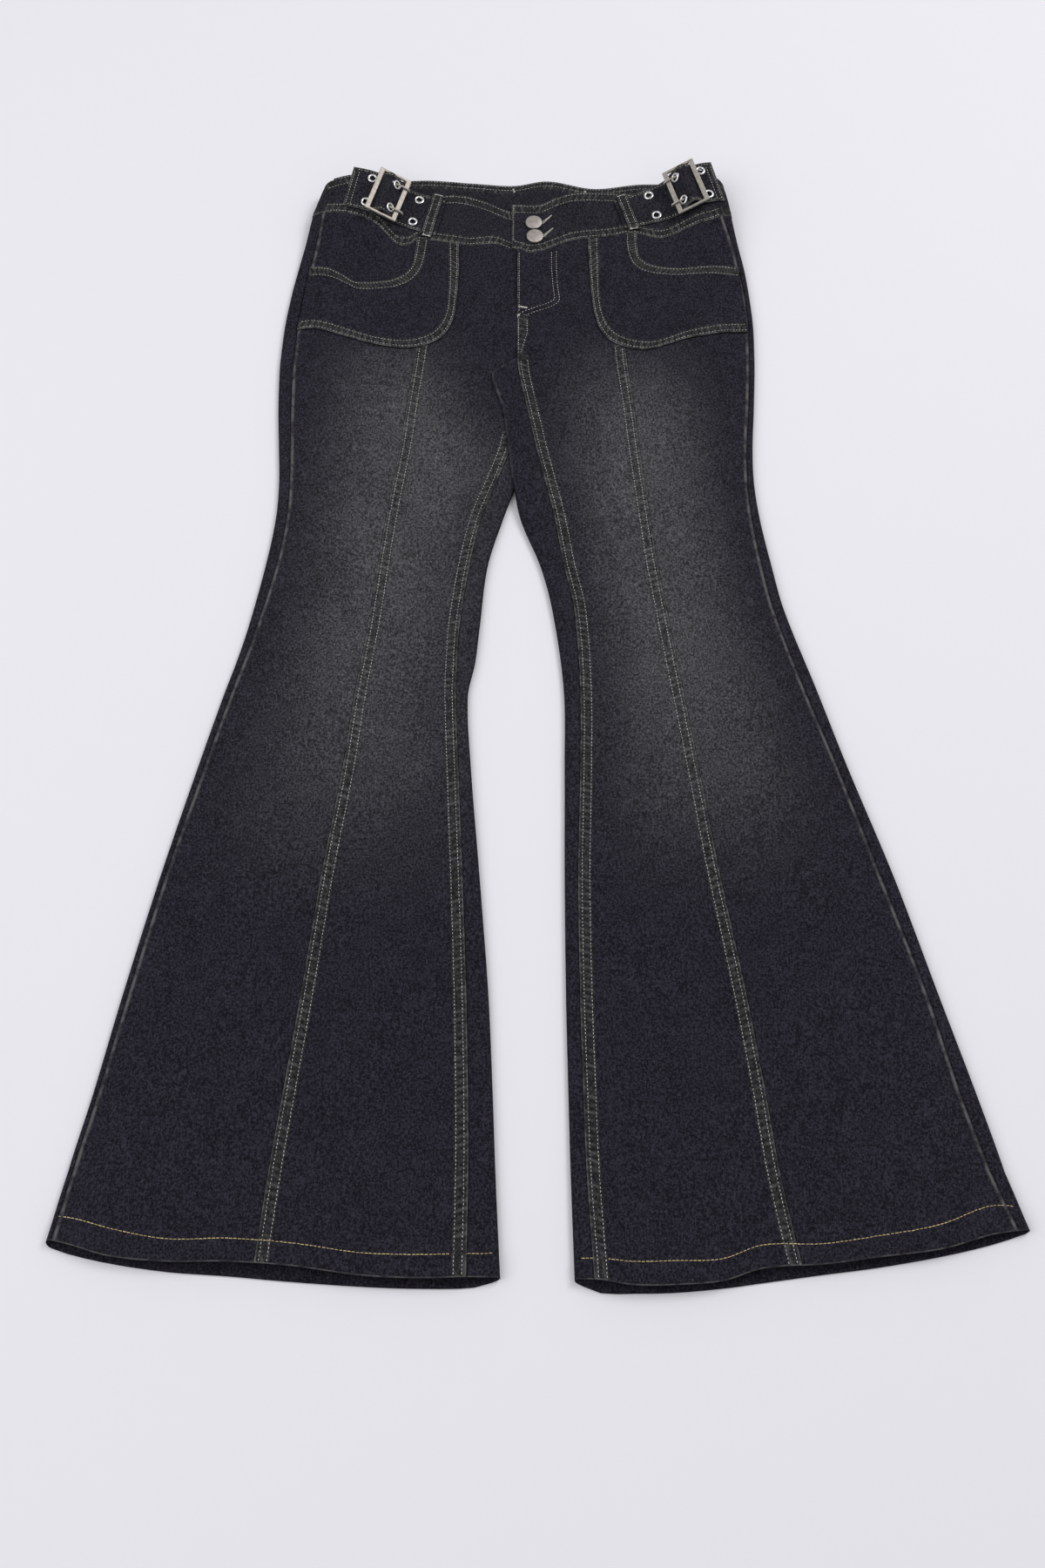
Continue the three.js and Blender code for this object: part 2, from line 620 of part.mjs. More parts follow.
function backPanel(leg) {
  const grid = ROWS.map((row) => backRow(leg, row).map((point) => placed(leg, row, point)));
  const keep = (i, j) => i < CROTCH_INDEX || j >= BOTTOM_START;
  const geometry = sheet(grid, { flip: leg === RIGHT_LEG, keep });
  addPiece(`back_leg_${leg.name}`, geometry, DENIM_DARK);
}

// Front panels: the inner one carries the two felled seams, the outer one is plain
function innerColumns(leg, row) {
  const from = leg.front(row) + SEAM_GAP / 2;
  const to = leg.princess(row) - SEAM_GAP / 2;
  const middle = spread(from + FELL_WIDTH + FELL_STEP, to - FELL_WIDTH - FELL_STEP, 5);
  return [from, from + FELL_WIDTH, ...middle, to - FELL_WIDTH, to];
}

function frontInner(leg) {
  const grid = ROWS.map((row) => {
    const inseamTo = leg === LEFT_LEG ? FLAP.full : WAIST_BLEND_ROW; // the flap hides the left one
    const inseamRise = row < inseamTo ? FELL_RISE : 0;
    const princessRise = row <= CROTCH_ROW ? FELL_RISE : 0;
    const columns = innerColumns(leg, row);
    const last = columns.length - 1;
    return columns.map((out, j) => {
      const onBands = j <= 1 ? inseamRise : 0;
      const rise = j >= last - 1 ? princessRise : onBands;
      return placed(leg, row, { out, z: null, face: 1, rise });
    });
  });
  addPiece(`front_inner_${leg.name}`, sheet(grid, { flip: leg === LEFT_LEG }), DENIM_FADED);
}

function sideColumns(leg, row) {
  return spread(leg.princess(row) + SEAM_GAP / 2, sideSeam(leg, row) - SEAM_GAP / 2, 8);
}

function frontSide(leg) {
  const grid = ROWS.map((row) => {
    return sideColumns(leg, row).map((out) => placed(leg, row, { out, z: null, face: 1 }));
  });
  addPiece(`front_side_${leg.name}`, sheet(grid, { flip: leg === LEFT_LEG }), DENIM_FADED);
}

// A point of a piece that lies on the top layer
function onTop(leg, out, height, lift, rise = 0) {
  return { x: leg.sign * out, y: height, z: top(leg, out, height) + lift, rise };
}

function pocket(leg) {
  const edges = POCKETS[leg.name];
  const lift = HALF + POCKET_GAP + POCKET_CLOTH / 2;
  const count = edges.sewn.length - 1;
  const numbered = (rows) => rows.map((row, step) => ({ ...row, step }));
  const sewnOut = curve(numbered(edges.sewn), 'step', 'out');
  const sewnHeight = curve(numbered(edges.sewn), 'step', 'height');
  const scoopOut = curve(numbered(edges.scoop), 'step', 'out');
  const scoopHeight = curve(numbered(edges.scoop), 'step', 'height');
  const grid = spread(0, count, POCKET_STEPS).map((step) => {
    const sewn = new THREE.Vector2(sewnOut(step), sewnHeight(step));
    const scoop = new THREE.Vector2(scoopOut(step), scoopHeight(step));
    const width = sewn.distanceTo(scoop);
    const bandPart = POCKET_BAND / width;
    const flatPart = bandPart + POCKET_STEP;
    const parts = [
      { at: 0, rise: POCKET_RISE }, { at: bandPart, rise: POCKET_RISE }, { at: flatPart, rise: 0 },
      { at: 0.5, rise: 0 },
      { at: 1 - flatPart, rise: 0 }, { at: 1 - bandPart, rise: POCKET_RISE }, { at: 1, rise: POCKET_RISE },
    ];
    return parts.map(({ at, rise }) => {
      const point = scoop.clone().lerp(sewn, at);
      const highest = leg.bandSeam(point.x) - BELOW_BAND;
      const furthest = sideSeam(leg, point.y) - SEAM_GAP / 2;
      return onTop(leg, Math.min(point.x, furthest), Math.min(point.y, highest), lift, rise);
    });
  });
  addPiece(`pocket_${leg.name}`, sheet(grid, { wall: POCKET_CLOTH, flip: leg === LEFT_LEG }), DENIM_BAND);
}

function fly() {
  const lift = HALF + LAYER_GAP + FLY_CLOTH / 2;
  const edge = curve([...FLY_ROWS].reverse(), 'height', 'edge');
  const grid = FLY_ROWS.map((row) => {
    const columns = spread(FLY_EDGE, edge(row.height), 4);
    return columns.map((out) => {
      const highest = RIGHT_LEG.bandSeam(out) - BELOW_BAND;
      const height = row === FLY_ROWS[0] ? highest : Math.min(row.height, highest - FLY_FIRST_STEP);
      return onTop(RIGHT_LEG, out, height, lift);
    });
  });
  addPiece('fly', sheet(grid, { wall: FLY_CLOTH, flip: true }), DENIM_BAND);
}

// Waistband: each front piece goes over the side fold on to the back
const BAND_ROWS = [0, 0.17, 0.2, 0.6, 0.88, 1];
const BAND_RISE = 0.5; // turned-in edge along the seam
const BAND_RISE_TO = 0.18;
const BAND_LEVEL = 1045; // usual height of the top edge
const UNDERLAP = { left: -20, right: -22, dip: 2.1, full: 26, fade: 22 }; // left end under the right

function bandPoint(leg, out, part, face, z) {
  const seam = mix(BACK_SEAM, leg.bandSeam(out), face) + SEAM_GAP / 2;
  const height = mix(seam, leg.bandTop(out), part);
  return { x: leg.sign * out, y: height, z: z ?? top(leg, out, height), rise: 0 };
}

// The band's columns stand on those of the panels below it
function bandColumns(leg, overlap) {
  const inner = innerColumns(leg, WAIST_ROW);
  const side = sideColumns(leg, WAIST_ROW);
  return [...spread(overlap, inner[0], 4).slice(0, -1), ...inner, ...side.slice(1)];
}

function frontBand(leg) {
  const grid = BAND_ROWS.map((part) => {
    const height = mix(WAIST_ROW, BAND_LEVEL, part);
    const radius = foldRadius(leg, height);
    const centre = leg.outer(height) - HALF - radius;
    const arc = foldArc(centre, HALF + radius, radius, Math.PI / 2, -Math.PI / 2);
    const flat = spread(centre, BACK_JOINT[leg.name] + SEAM_GAP / 2, 2).slice(1);
    const front = bandColumns(leg, UNDERLAP[leg.name]).map((out) => {
      const point = bandPoint(leg, Math.min(out, centre - SEAM_INSIDE / 2), part, 1);
      if (leg === LEFT_LEG) point.z -= UNDERLAP.dip * (1 - ease((out - UNDERLAP.full) / UNDERLAP.fade));
      return point;
    });
    const grown = (point) => (
      { ...point, rise: part < BAND_RISE_TO && point.z > 2 * CLOTH ? BAND_RISE : 0 }
    );
    return [
      ...front.map(grown),
      ...arc.map((point) => bandPoint(leg, point.out, part, point.face, point.z)).map(grown),
      ...flat.map((out) => bandPoint(leg, out, part, 0, HALF)),
    ];
  });
  addPiece(`waistband_front_${leg.name}`, sheet(grid, { flip: leg === LEFT_LEG }), DENIM_BAND);
}

function backBand() {
  const across = spread(-BACK_JOINT.left + SEAM_GAP / 2, BACK_JOINT.right - SEAM_GAP / 2, 16);
  const grid = [0, 0.5, 1].map((part) => across.map((x) => (
    { x, y: mix(BACK_SEAM + SEAM_GAP / 2, backBandTop(x), part), z: HALF, rise: 0 }
  )));
  addPiece('waistband_back', sheet(grid, {}), DENIM_BAND);
}

// Straps, in their own directions: along outwards and across towards the top edge
function strapPlace(strap, along, across) {
  const lean = THREE.MathUtils.degToRad(strap.lean);
  const slanted = across * mix(strap.inner, 1, Math.min(along / strap.eyelets[1], 1));
  return {
    out: strap.out + along * Math.cos(STRAP_ANGLE) - slanted * Math.sin(lean),
    height: strap.height + along * Math.sin(STRAP_ANGLE) + slanted * Math.cos(lean),
  };
}

function strapPoint(leg, along, across, lift = 0) {
  const strap = STRAPS[leg.name];
  const { out, height } = strapPlace(strap, along, across);
  const base = top(leg, out, height) + HALF + STRAP_GAP + STRAP_CLOTH / 2;
  const z = base + strapLift(along - strap.bar) + lift;
  return new THREE.Vector3(leg.sign * out, height, z);
}

function strapNormal(leg, along, across) {
  const step = 1;
  const a = strapPoint(leg, along + step, across).sub(strapPoint(leg, along - step, across));
  const c = strapPoint(leg, along, across + step).sub(strapPoint(leg, along, across - step));
  return a.cross(c).normalize().multiplyScalar(leg.sign);
}

const wasm = await Module();
wasm.setup();

function toSolid(geometry) {
  const bare = geometry.clone();
  bare.deleteAttribute('normal');
  bare.deleteAttribute('uv');
  const merged = mergeVertices(bare, 1e-4);
  return new wasm.Manifold(new wasm.Mesh({
    numProp: 3,
    vertProperties: new Float32Array(merged.getAttribute('position').array),
    triVerts: new Uint32Array(merged.getIndex().array),
  }));
}

function fromSolid(solid) {
  const mesh = solid.getMesh();
  const geometry = new THREE.BufferGeometry();
  geometry.setAttribute('position', new THREE.Float32BufferAttribute(mesh.vertProperties, 3));
  geometry.setIndex(Array.from(mesh.triVerts));
  return geometry;
}

// A solid turned so that its own +Z follows a direction, at a place
function seated(geometry, place, direction) {
  const turn = new THREE.Quaternion().setFromUnitVectors(new THREE.Vector3(0, 0, 1), direction);
  return geometry.applyQuaternion(turn).translate(place.x, place.y, place.z);
}

// A ring or disc turned round its own +Z from a closed half section
function turned(profile, sides) {
  const points = profile.map(([radius, z]) => new THREE.Vector2(radius, z));
  return new THREE.LatheGeometry(points, sides).rotateX(Math.PI / 2);
}

function eyeletSpots(leg) {
  const spots = [];
  for (const along of STRAPS[leg.name].eyelets) {
    for (const side of [-1, 1]) spots.push({ along, across: side * EYELET.across });
  }
  return spots;
}

function strap(leg) {
  const { length } = STRAPS[leg.name];
  const half = STRAP_WIDTH / 2;
  const across = spread(-half, half, STRAP_CELLS.across);
  const grid = spread(0, length, STRAP_CELLS.along).map((along) => (
    across.map((place) => strapPoint(leg, along, place))
  ));
  let solid = toSolid(sheet(grid, { wall: STRAP_CLOTH, flip: leg === LEFT_LEG }));
  for (const spot of eyeletSpots(leg)) {
    const cutter = new THREE.CylinderGeometry(EYELET.cut, EYELET.cut, CUTTER.length, CUTTER.sides);
    cutter.rotateX(Math.PI / 2);
    const place = strapPoint(leg, spot.along, spot.across);
    seated(cutter, place, strapNormal(leg, spot.along, spot.across));
    solid = solid.subtract(toSolid(cutter));
  }
  addPiece(`strap_${leg.name}`, fromSolid(solid), DENIM_BAND);
}

function eyelets(leg) {
  const under = -STRAP_CLOTH / 2;
  const seat = STRAP_CLOTH / 2 + EYELET.seat;
  const crown = seat + EYELET.flange;
  const profile = [
    [EYELET.hole, under], [EYELET.barrel, under], [EYELET.barrel, seat], [EYELET.outer, seat],
    [EYELET.outer - EYELET.round, crown], [EYELET.hole + EYELET.lip, crown], [EYELET.hole, under],
  ];
  eyeletSpots(leg).forEach((spot, i) => {
    const ring = turned(profile, EYELET.sides);
    seated(ring, strapPoint(leg, spot.along, spot.across), strapNormal(leg, spot.along, spot.across));
    addPiece(`eyelet_${leg.name}_${i + 1}`, ring, BRIGHT_NICKEL);
  });
}

// The buckle's plane rests on the strap under both bars
function bucklePlane(leg) {
  const { bar } = STRAPS[leg.name];
  const reach = STRAP_WIDTH / 2 - STRAP_EDGE;
  const level = (along, across) => strapPoint(leg, along, across).z;
  const far = bar + BUCKLE.spacing;
  const innerLevel = (level(bar, -reach) + level(bar, reach)) / 2;
  const outerLevel = (level(far, -reach) + level(far, reach)) / 2;
  const alongSlope = (outerLevel - innerLevel) / BUCKLE.spacing;
  const rise = (along) => (level(along, reach) - level(along, -reach)) / (2 * reach);
  const acrossSlope = (rise(bar) + rise(far)) / 2;
  const start = (innerLevel + outerLevel) / 2;
  const flat = (along, across) => (
    start + alongSlope * (along - bar - BUCKLE.spacing / 2) + acrossSlope * across
  );
  let short = 0;
  const halfBar = BUCKLE.barWidth / 2;
  for (const along of [bar - halfBar, bar, bar + halfBar, far - halfBar, far, far + halfBar]) {
    for (const across of spread(-reach, reach, 8)) {
      short = Math.max(short, level(along, across) - flat(along, across));
    }
  }
  const base = short + STRAP_CLOTH / 2 + BUCKLE.clear + BUCKLE.thick / 2;
  return (along, across) => {
    const { out, height } = strapPlace(STRAPS[leg.name], along, across);
    return new THREE.Vector3(leg.sign * out, height, flat(along, across) + base);
  };
}

function buckle(leg) {
  const { bar } = STRAPS[leg.name];
  const plane = bucklePlane(leg);
  const centre = plane(bar + BUCKLE.spacing / 2, 0);
  const alongAxis = plane(bar + BUCKLE.spacing, 0).sub(centre).normalize();
  const acrossAxis = plane(bar + BUCKLE.spacing / 2, BUCKLE.spacing).sub(centre).normalize();
  const up = alongAxis.clone().cross(acrossAxis).normalize().multiplyScalar(leg.sign);
  const halfAlong = (BUCKLE.spacing + BUCKLE.barWidth) / 2;
  const halfAcross = BUCKLE.length / 2;
  const frame = new THREE.Shape();
  frame.moveTo(-halfAlong, -halfAcross);
  frame.lineTo(halfAlong, -halfAcross);
  frame.lineTo(halfAlong, halfAcross);
  frame.lineTo(-halfAlong, halfAcross);
  frame.closePath();
  const inAlong = halfAlong - BUCKLE.barWidth;
  const inAcross = halfAcross - BUCKLE.rail;
  const window = new THREE.Path();
  window.moveTo(-inAlong, -inAcross);
  window.lineTo(-inAlong, inAcross);
  window.lineTo(inAlong, inAcross);
  window.lineTo(inAlong, -inAcross);
  window.closePath();
  frame.holes.push(window);
  const bevel = BUCKLE.bevel;
  const geometry = new THREE.ExtrudeGeometry(frame, {
    depth: BUCKLE.thick - 2 * bevel, bevelEnabled: true, bevelThickness: bevel, bevelSize: bevel,
    bevelOffset: -bevel, bevelSegments: 1,
  });
  geometry.translate(0, 0, -(BUCKLE.thick - 2 * bevel) / 2);
  const across = up.clone().cross(alongAxis).normalize();
  const basis = new THREE.Matrix4().makeBasis(alongAxis, across, up);
  geometry.applyMatrix4(basis).translate(centre.x, centre.y, centre.z);
  addPiece(`buckle_${leg.name}`, geometry, NICKEL);
}

// A prong hooks over the inner bar and goes down through the eyelet beside it
function prongs(leg) {
  const { bar, eyelets: at } = STRAPS[leg.name];
  const plane = bucklePlane(leg);
  const hole = at[1];
  const clear = BUCKLE.thick / 2 + LAYER_GAP + PRONG.radius;
  [-1, 1].forEach((side, i) => {
    const across = side * EYELET.across;
    const above = (along, z) => plane(along, across).add(new THREE.Vector3(0, 0, z));
    const through = strapPoint(leg, hole, across);
    const beside = BUCKLE.barWidth / 2 + PRONG.gap + PRONG.radius;
    const path = new THREE.CatmullRomCurve3([
      above(bar - beside, PRONG.start),
      above(bar - BUCKLE.barWidth / 2 - PRONG.rise, clear),
      above(bar, clear + PRONG.rise),
      above(bar + beside, clear + PRONG.rise),
      above(hole - 2 * PRONG.lean, clear - PRONG.rise),
      through.clone().add(new THREE.Vector3(0, 0, PRONG.through)),
      through.clone().add(new THREE.Vector3(leg.sign * PRONG.lean, 0, -PRONG.through)),
    ]);
    const round = new THREE.Shape();
    round.absarc(0, 0, PRONG.radius, 0, 2 * Math.PI, false);
    const geometry = new THREE.ExtrudeGeometry(round, {
      steps: PRONG.steps, extrudePath: path, curveSegments: PRONG.arcs,
    });
    addPiece(`prong_${leg.name}_${i + 1}`, geometry, NICKEL);
  });
}

function beltLoop(leg) {
  const strapTop = STRAP_CLOTH / 2 + LAYER_GAP + LOOP.cloth / 2;
  const { flat, shoulder, foot, reach } = LOOP;
  const stations = [-reach, -foot, -shoulder, -flat, 0, flat, shoulder, foot, reach];
  const places = spread(LOOP.along - LOOP.width / 2, LOOP.along + LOOP.width / 2, LOOP.cells);
  const grid = stations.map((across) => {
    const onBand = Math.abs(across) >= foot;
    return places.map((along) => {
      const point = strapPoint(leg, along, across);
      const onCloth = top(leg, leg.sign * point.x, point.y) + HALF + LAYER_GAP + LOOP.cloth / 2;
      return { x: point.x, y: point.y, z: onBand ? onCloth + LOOP.clear : point.z + strapTop, rise: 0 };
    });
  });
  addPiece(`belt_loop_${leg.name}`, sheet(grid, { wall: LOOP.cloth, flip: leg === LEFT_LEG }), DENIM_BAND);
}

function buttons() {
  const { radius, neck, neckHeight, thick, dome, bevel } = BUTTON;
  const rim = neckHeight + thick;
  const profile = [
    [0, 0], [neck, 0], [neck, neckHeight], [radius - bevel, neckHeight], [radius, neckHeight + bevel],
    [radius, rim - bevel], [radius - bevel, rim], [radius / 2, rim + 0.75 * dome], [0, rim + dome],
  ];
  for (const { name, across, height } of BUTTONS) {
    const step = 2;
    const at = (x, y) => top(RIGHT_LEG, x, y);
    const slopeX = (at(across + step, height) - at(across - step, height)) / (2 * step);
    const slopeY = (at(across, height + step) - at(across, height - step)) / (2 * step);
    const normal = new THREE.Vector3(-slopeX, -slopeY, 1).normalize();
    const place = new THREE.Vector3(across, height, at(across, height) + HALF + LAYER_GAP);
    addPiece(name, seated(turned(profile, BUTTON.sides), place, normal), MATTE_NICKEL);
  }
}

for (const leg of [LEFT_LEG, RIGHT_LEG]) {
  backPanel(leg);
  frontSide(leg);
  frontInner(leg);
  pocket(leg);
  frontBand(leg);
  strap(leg);
  eyelets(leg);
  buckle(leg);
  prongs(leg);
  beltLoop(leg);
}
backBand();
fly();
buttons();

export default garment;
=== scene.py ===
# Flared jeans laid out on their back: cloth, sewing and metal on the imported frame.
# Shapes are worked out in millimetres, with the hem of the front at height 0.
import math

import bmesh
import bpy
import numpy as np
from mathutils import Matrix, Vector


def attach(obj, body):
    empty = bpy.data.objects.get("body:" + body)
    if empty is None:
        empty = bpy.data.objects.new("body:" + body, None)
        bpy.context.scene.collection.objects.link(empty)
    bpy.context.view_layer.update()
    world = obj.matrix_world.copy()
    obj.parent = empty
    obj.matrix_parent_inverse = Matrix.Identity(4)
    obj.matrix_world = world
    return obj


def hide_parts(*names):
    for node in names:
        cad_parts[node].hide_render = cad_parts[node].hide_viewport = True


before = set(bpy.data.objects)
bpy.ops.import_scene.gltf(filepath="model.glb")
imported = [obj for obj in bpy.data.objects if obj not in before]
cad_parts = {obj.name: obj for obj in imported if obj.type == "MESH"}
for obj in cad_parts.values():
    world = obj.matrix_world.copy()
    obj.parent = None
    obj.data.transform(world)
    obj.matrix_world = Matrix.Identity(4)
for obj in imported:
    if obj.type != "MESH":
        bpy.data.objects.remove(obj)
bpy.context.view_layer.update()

METRE = 0.001
MIDDLE_X = 0.5
MIDDLE_Y = 514.3
LEFT_OUT = -1
RIGHT_OUT = 1

# Cloth
CLOTH = 1.4
HALF = CLOTH / 2
SEAM_GAP = 0.3
LAYER_GAP = 0.3
FAR = 60.0  # a distance from an edge at which nothing of the edge shows

# Felled seams: two rows of stitches on a band of folded cloth
BAND_WIDTH = 10.8
BAND_RISE = 0.8
BAND_ROUND = 1.1  # the free edge is rounded over this width
ROW_NEAR = 3.2  # first row of stitches, from the free edge
ROW_FAR = 9.4
DENT = 0.28  # how deep the stitches pull the cloth in
DENT_WIDTH = 0.9
CENTRE_NARROW = 4  # width of the centre seam's band at the crotch
CENTRE_TALL = 28  # and the height over which it widens
CENTRE_ROWS = 885  # the row up to which the centre seam shows below the fly

# Uneven ridges beside the seams. The seeds make each seam's own different.
PUCKER_PITCH = 6.2
BAND_PUCKER = 0.2
BESIDE_PUCKER = 0.14
PRINCESS_SEED = 1.0
HEM_SEED = 2.0
INSEAM_SEED = 3.0
FRONT_EDGE_SEED = 4.0
BACK_EDGE_SEED = 5.0
FLY_SEED = 6.0
BAND_SEED = {"left": 7.0, "right": 9.0, "back": 11.0}
STRAP_SEED = 8.0

# Hem
HEM_RISE = 0.7
HEM_DENT = 0.3
HEM_PUCKER = 0.35

# Heights of the garment
HEM_ROW = -10
HEM_BLEND = 60
CROTCH = 829
WAIST_BLEND = 850
WAIST = 1000


def ease(f):
    f = np.clip(f, 0, 1)
    return f * f * (3 - 2 * f)


def mix(a, b, f):
    return a + (b - a) * f


def bell(value, middle, width):
    """1 at the middle and less on both sides."""
    return np.exp(-(((value - middle) / width) ** 2))


def rounding(distance, size):
    """From 0 at an edge to 1, like the section of a rounded edge."""
    return np.sqrt(np.clip(distance / size, 0, 1))


def spots(x, y, z):
    """Points from their three parts."""
    return np.stack(np.broadcast_arrays(x, y, z), axis=-1)


class Curve:
    """A smooth line through a table of values."""

    def __init__(self, at, value):
        self.at = np.array(at, float)
        self.value = np.array(value, float)
        count = np.arange(len(at))
        before = np.maximum(count - 1, 0)
        after = np.minimum(count + 1, len(at) - 1)
        self.slope = (self.value[after] - self.value[before]) / (self.at[after] - self.at[before])

    def __call__(self, where):
        inside = np.clip(where, self.at[0], self.at[-1])
        i = np.clip(np.searchsorted(self.at, inside) - 1, 0, len(self.at) - 2)
        span = self.at[i + 1] - self.at[i]
        rise = self.value[i + 1] - self.value[i]
        f = (inside - self.at[i]) / span
        bend = (1 - f) * (self.slope[i] * span - rise) + f * (rise - self.slope[i + 1] * span)
        return self.value[i] + f * rise + f * (1 - f) * bend


class Table:
    """Rows of named columns. Each column is a smooth line over the first one."""

    def __init__(self, names, rows):
        first, *others = zip(*rows)
        for name, values in zip(names.split()[1:], others):
            setattr(self, name, Curve(first, values))


class Leg:
    def __init__(self, name, sign, edges, hem, band):
        self.name = name
        self.sign = sign
        self.edges = Table("height outer side princess front inner", edges)
        self.hem = Table("out front back stitch", hem)
        self.band = Table("out seam top", band)


# How far out from the middle line the edges and seams lie
LEFT = Leg(
    "left",
    LEFT_OUT,
    edges=[
        (-10, 367, 363, 210, 53, 28), (60, 356.5, 352.5, 203.5, 52.5, 32),
        (120, 344, 340, 196.5, 53.5, 34.5), (200, 329, 324.5, 187, 56, 38.5),
        (300, 308.5, 304, 176, 60.5, 46.5), (400, 285.5, 280, 162.5, 65.5, 55),
        (468, 269, 263, 155.5, 68.5, 58.5), (502, 260, 253.5, 151, 68, 52.5),
        (537, 252, 244.5, 146.5, 66.5, 49), (600, 241, 231, 140, 58.5, 42.5),
        (650, 235, 225, 134.5, 48.5, 29),
        (690, 234.5, 224.5, 129, 34.5, 16.5), (728, 237, 226, 124, 22.5, 9),
        (770, 240, 228, 120, 16.5, 5), (810, 241.5, 229, 115.5, 16.5, 2),
        (829, 241.5, 228.5, 113.5, 16.5, 0.5), (870, 239.5, 226.5, 110, 16.5, 0.5),
        (910, 235, 222.5, 108, 16.5, 0.5), (941, 230, 218, 106, 16.5, 0.5),
        (970, 224.5, 213, 105, 16.5, 0.5), (1000, 219.5, 209, 104, 16.5, 0.5),
        (1025, 214, 205, 104, 16.5, 0.5), (1050, 207, 200, 104, 16.5, 0.5),
    ],
    hem=[
        (27, -18, -18, 0), (46, -18, -24, -1), (90, -19, -25, -2), (132, -17, -23.5, -0.5),
        (184, -10, -20, 6.5), (231, -7, -16, 10), (275, -7, -13, 9.5), (318, -3, -7, 17),
        (350, 6, 0, 25.5), (368, 10, 6, 27),
    ],
    band=[
        (-30, 957, 1004), (5, 957.5, 1006), (20, 961, 1010), (37, 968, 1017), (63, 966, 1028),
        (80, 969, 1031), (98, 972, 1029), (115, 972.5, 1031), (123, 966, 1032), (134, 965.5, 1034),
        (142, 973, 1036), (154, 985, 1038.5), (178, 994.5, 1041), (196, 997.5, 1039), (220, 999.5, 1033),
    ],
)
RIGHT = Leg(
    "right",
    RIGHT_OUT,
    edges=[
        (-10, 368, 359, 195, 41.5, 27), (60, 354.5, 343, 183, 37, 25), (120, 340, 327, 176, 35.5, 24),
        (200, 319, 309.5, 165.5, 34, 23), (300, 293, 282, 150, 34, 23), (400, 263, 254, 136.5, 37, 24),
        (475, 242, 231, 126, 38, 24), (553, 219.5, 210, 115, 34, 15), (600, 211, 202, 108.5, 25, 4.5),
        (650, 203.5, 196, 103.5, 17, -13.5), (690, 200.5, 194.5, 99.5, 8.5, -20.5),
        (728, 201.5, 196, 96, 0.5, -25), (770, 205, 200, 92.5, -7.5, -30.5),
        (810, 208, 203, 88.5, -15, -40), (829, 209, 204, 87, -16.5, -40), (870, 210, 205, 85, -16.5, -40),
        (910, 208, 203, 84, -16.5, -40), (941, 205, 199, 83.5, -16.5, -40),
        (970, 200, 195, 83, -16.5, -40), (1000, 195.5, 190, 83, -16.5, -40),
        (1025, 192.5, 187, 83, -16.5, -40), (1050, 187.5, 182, 83, -16.5, -40),
    ],
    hem=[
        (26, -19, -20, -4), (46, -20, -28, -4.5), (70, -24, -28.5, -7), (100, -24, -28, -6.5),
        (136, -21, -25, -5), (166, -12, -21, 5), (212, -9, -15, 6), (252, -4, -10, 11.5),
        (300, 2, -2, 20), (340, 13, 7, 34), (369, 17, 16, 33),
    ],
    band=[
        (-24, 963.5, 1018.5), (-14, 961, 1018.5), (-5, 957.5, 1018), (7, 959.5, 1019),
        (23, 967, 1028), (40, 974, 1034), (74, 978, 1034), (96, 982, 1032), (112, 977.5, 1036),
        (126, 975, 1040), (152, 983.5, 1045.5), (173, 988.5, 1044), (187, 995, 1038), (196, 998.5, 1035),
    ],
)
LEGS = (LEFT, RIGHT)
BACK_SEAM = 1000
BACK_BAND = Table("across top", [
    (-200, 1047), (-115, 1057), (-60, 1053), (-20, 1050), (14, 1056), (60, 1046), (110, 1052), (176, 1049),
])
BACK_JOINT = {"left": 196, "right": 172}

# Height of the middle of the top layer
LAYER = Table("height edge inside", [
    (-30, 7, 10.5), (20, 6, 9.5), (90, 5, 8.8), (300, 5, 8.2), (500, 5, 8.4), (640, 5, 8.8),
    (829, 5, 8.3), (900, 5.2, 8), (1060, 5.2, 7.6),
])
EDGE_ROLL = 40
# At the waist the sides stand up under the straps
WAIST_SIDE = {
    "left": Table("inward height", [
        (0, 17), (12, 19.5), (28, 22), (48, 22.5), (62, 20.5), (76, 15.5), (90, 11.3), (104, 8.9),
        (120, 8), (140, 7.6),
    ]),
    "right": Table("inward height", [
        (0, 18), (10, 21), (22, 23), (34, 22), (46, 17.5), (60, 12.5), (74, 9.6), (90, 8.2), (112, 7.6),
    ]),
}
WAIST_LIFT_FROM = 915
WAIST_LIFT_TO = 1010
WAIST_TILT = 0.1
WAIST_TILT_FULL = 40
WAIST_TILT_FADE = 60

# The flap of the right back leg that lies on the left leg below the crotch
FLAP_FROM = 650
FLAP_FULL = 690
FLAP_RUN = FLAP_FULL - FLAP_FROM
FLAP_STACK = 1.8
FLAP_CORNER = -14
FLAP_SLOPE = 0.8
FLAP_SLANT_FROM = 770
FLAP_DROP_GAP = 2.5
FLAP_ROUND = 1.5
FLAP_BLEND_OUT = 12
FLAP_BLEND_UP = 20
FLAP_HIDES = 750  # the left inseam's band goes under it here

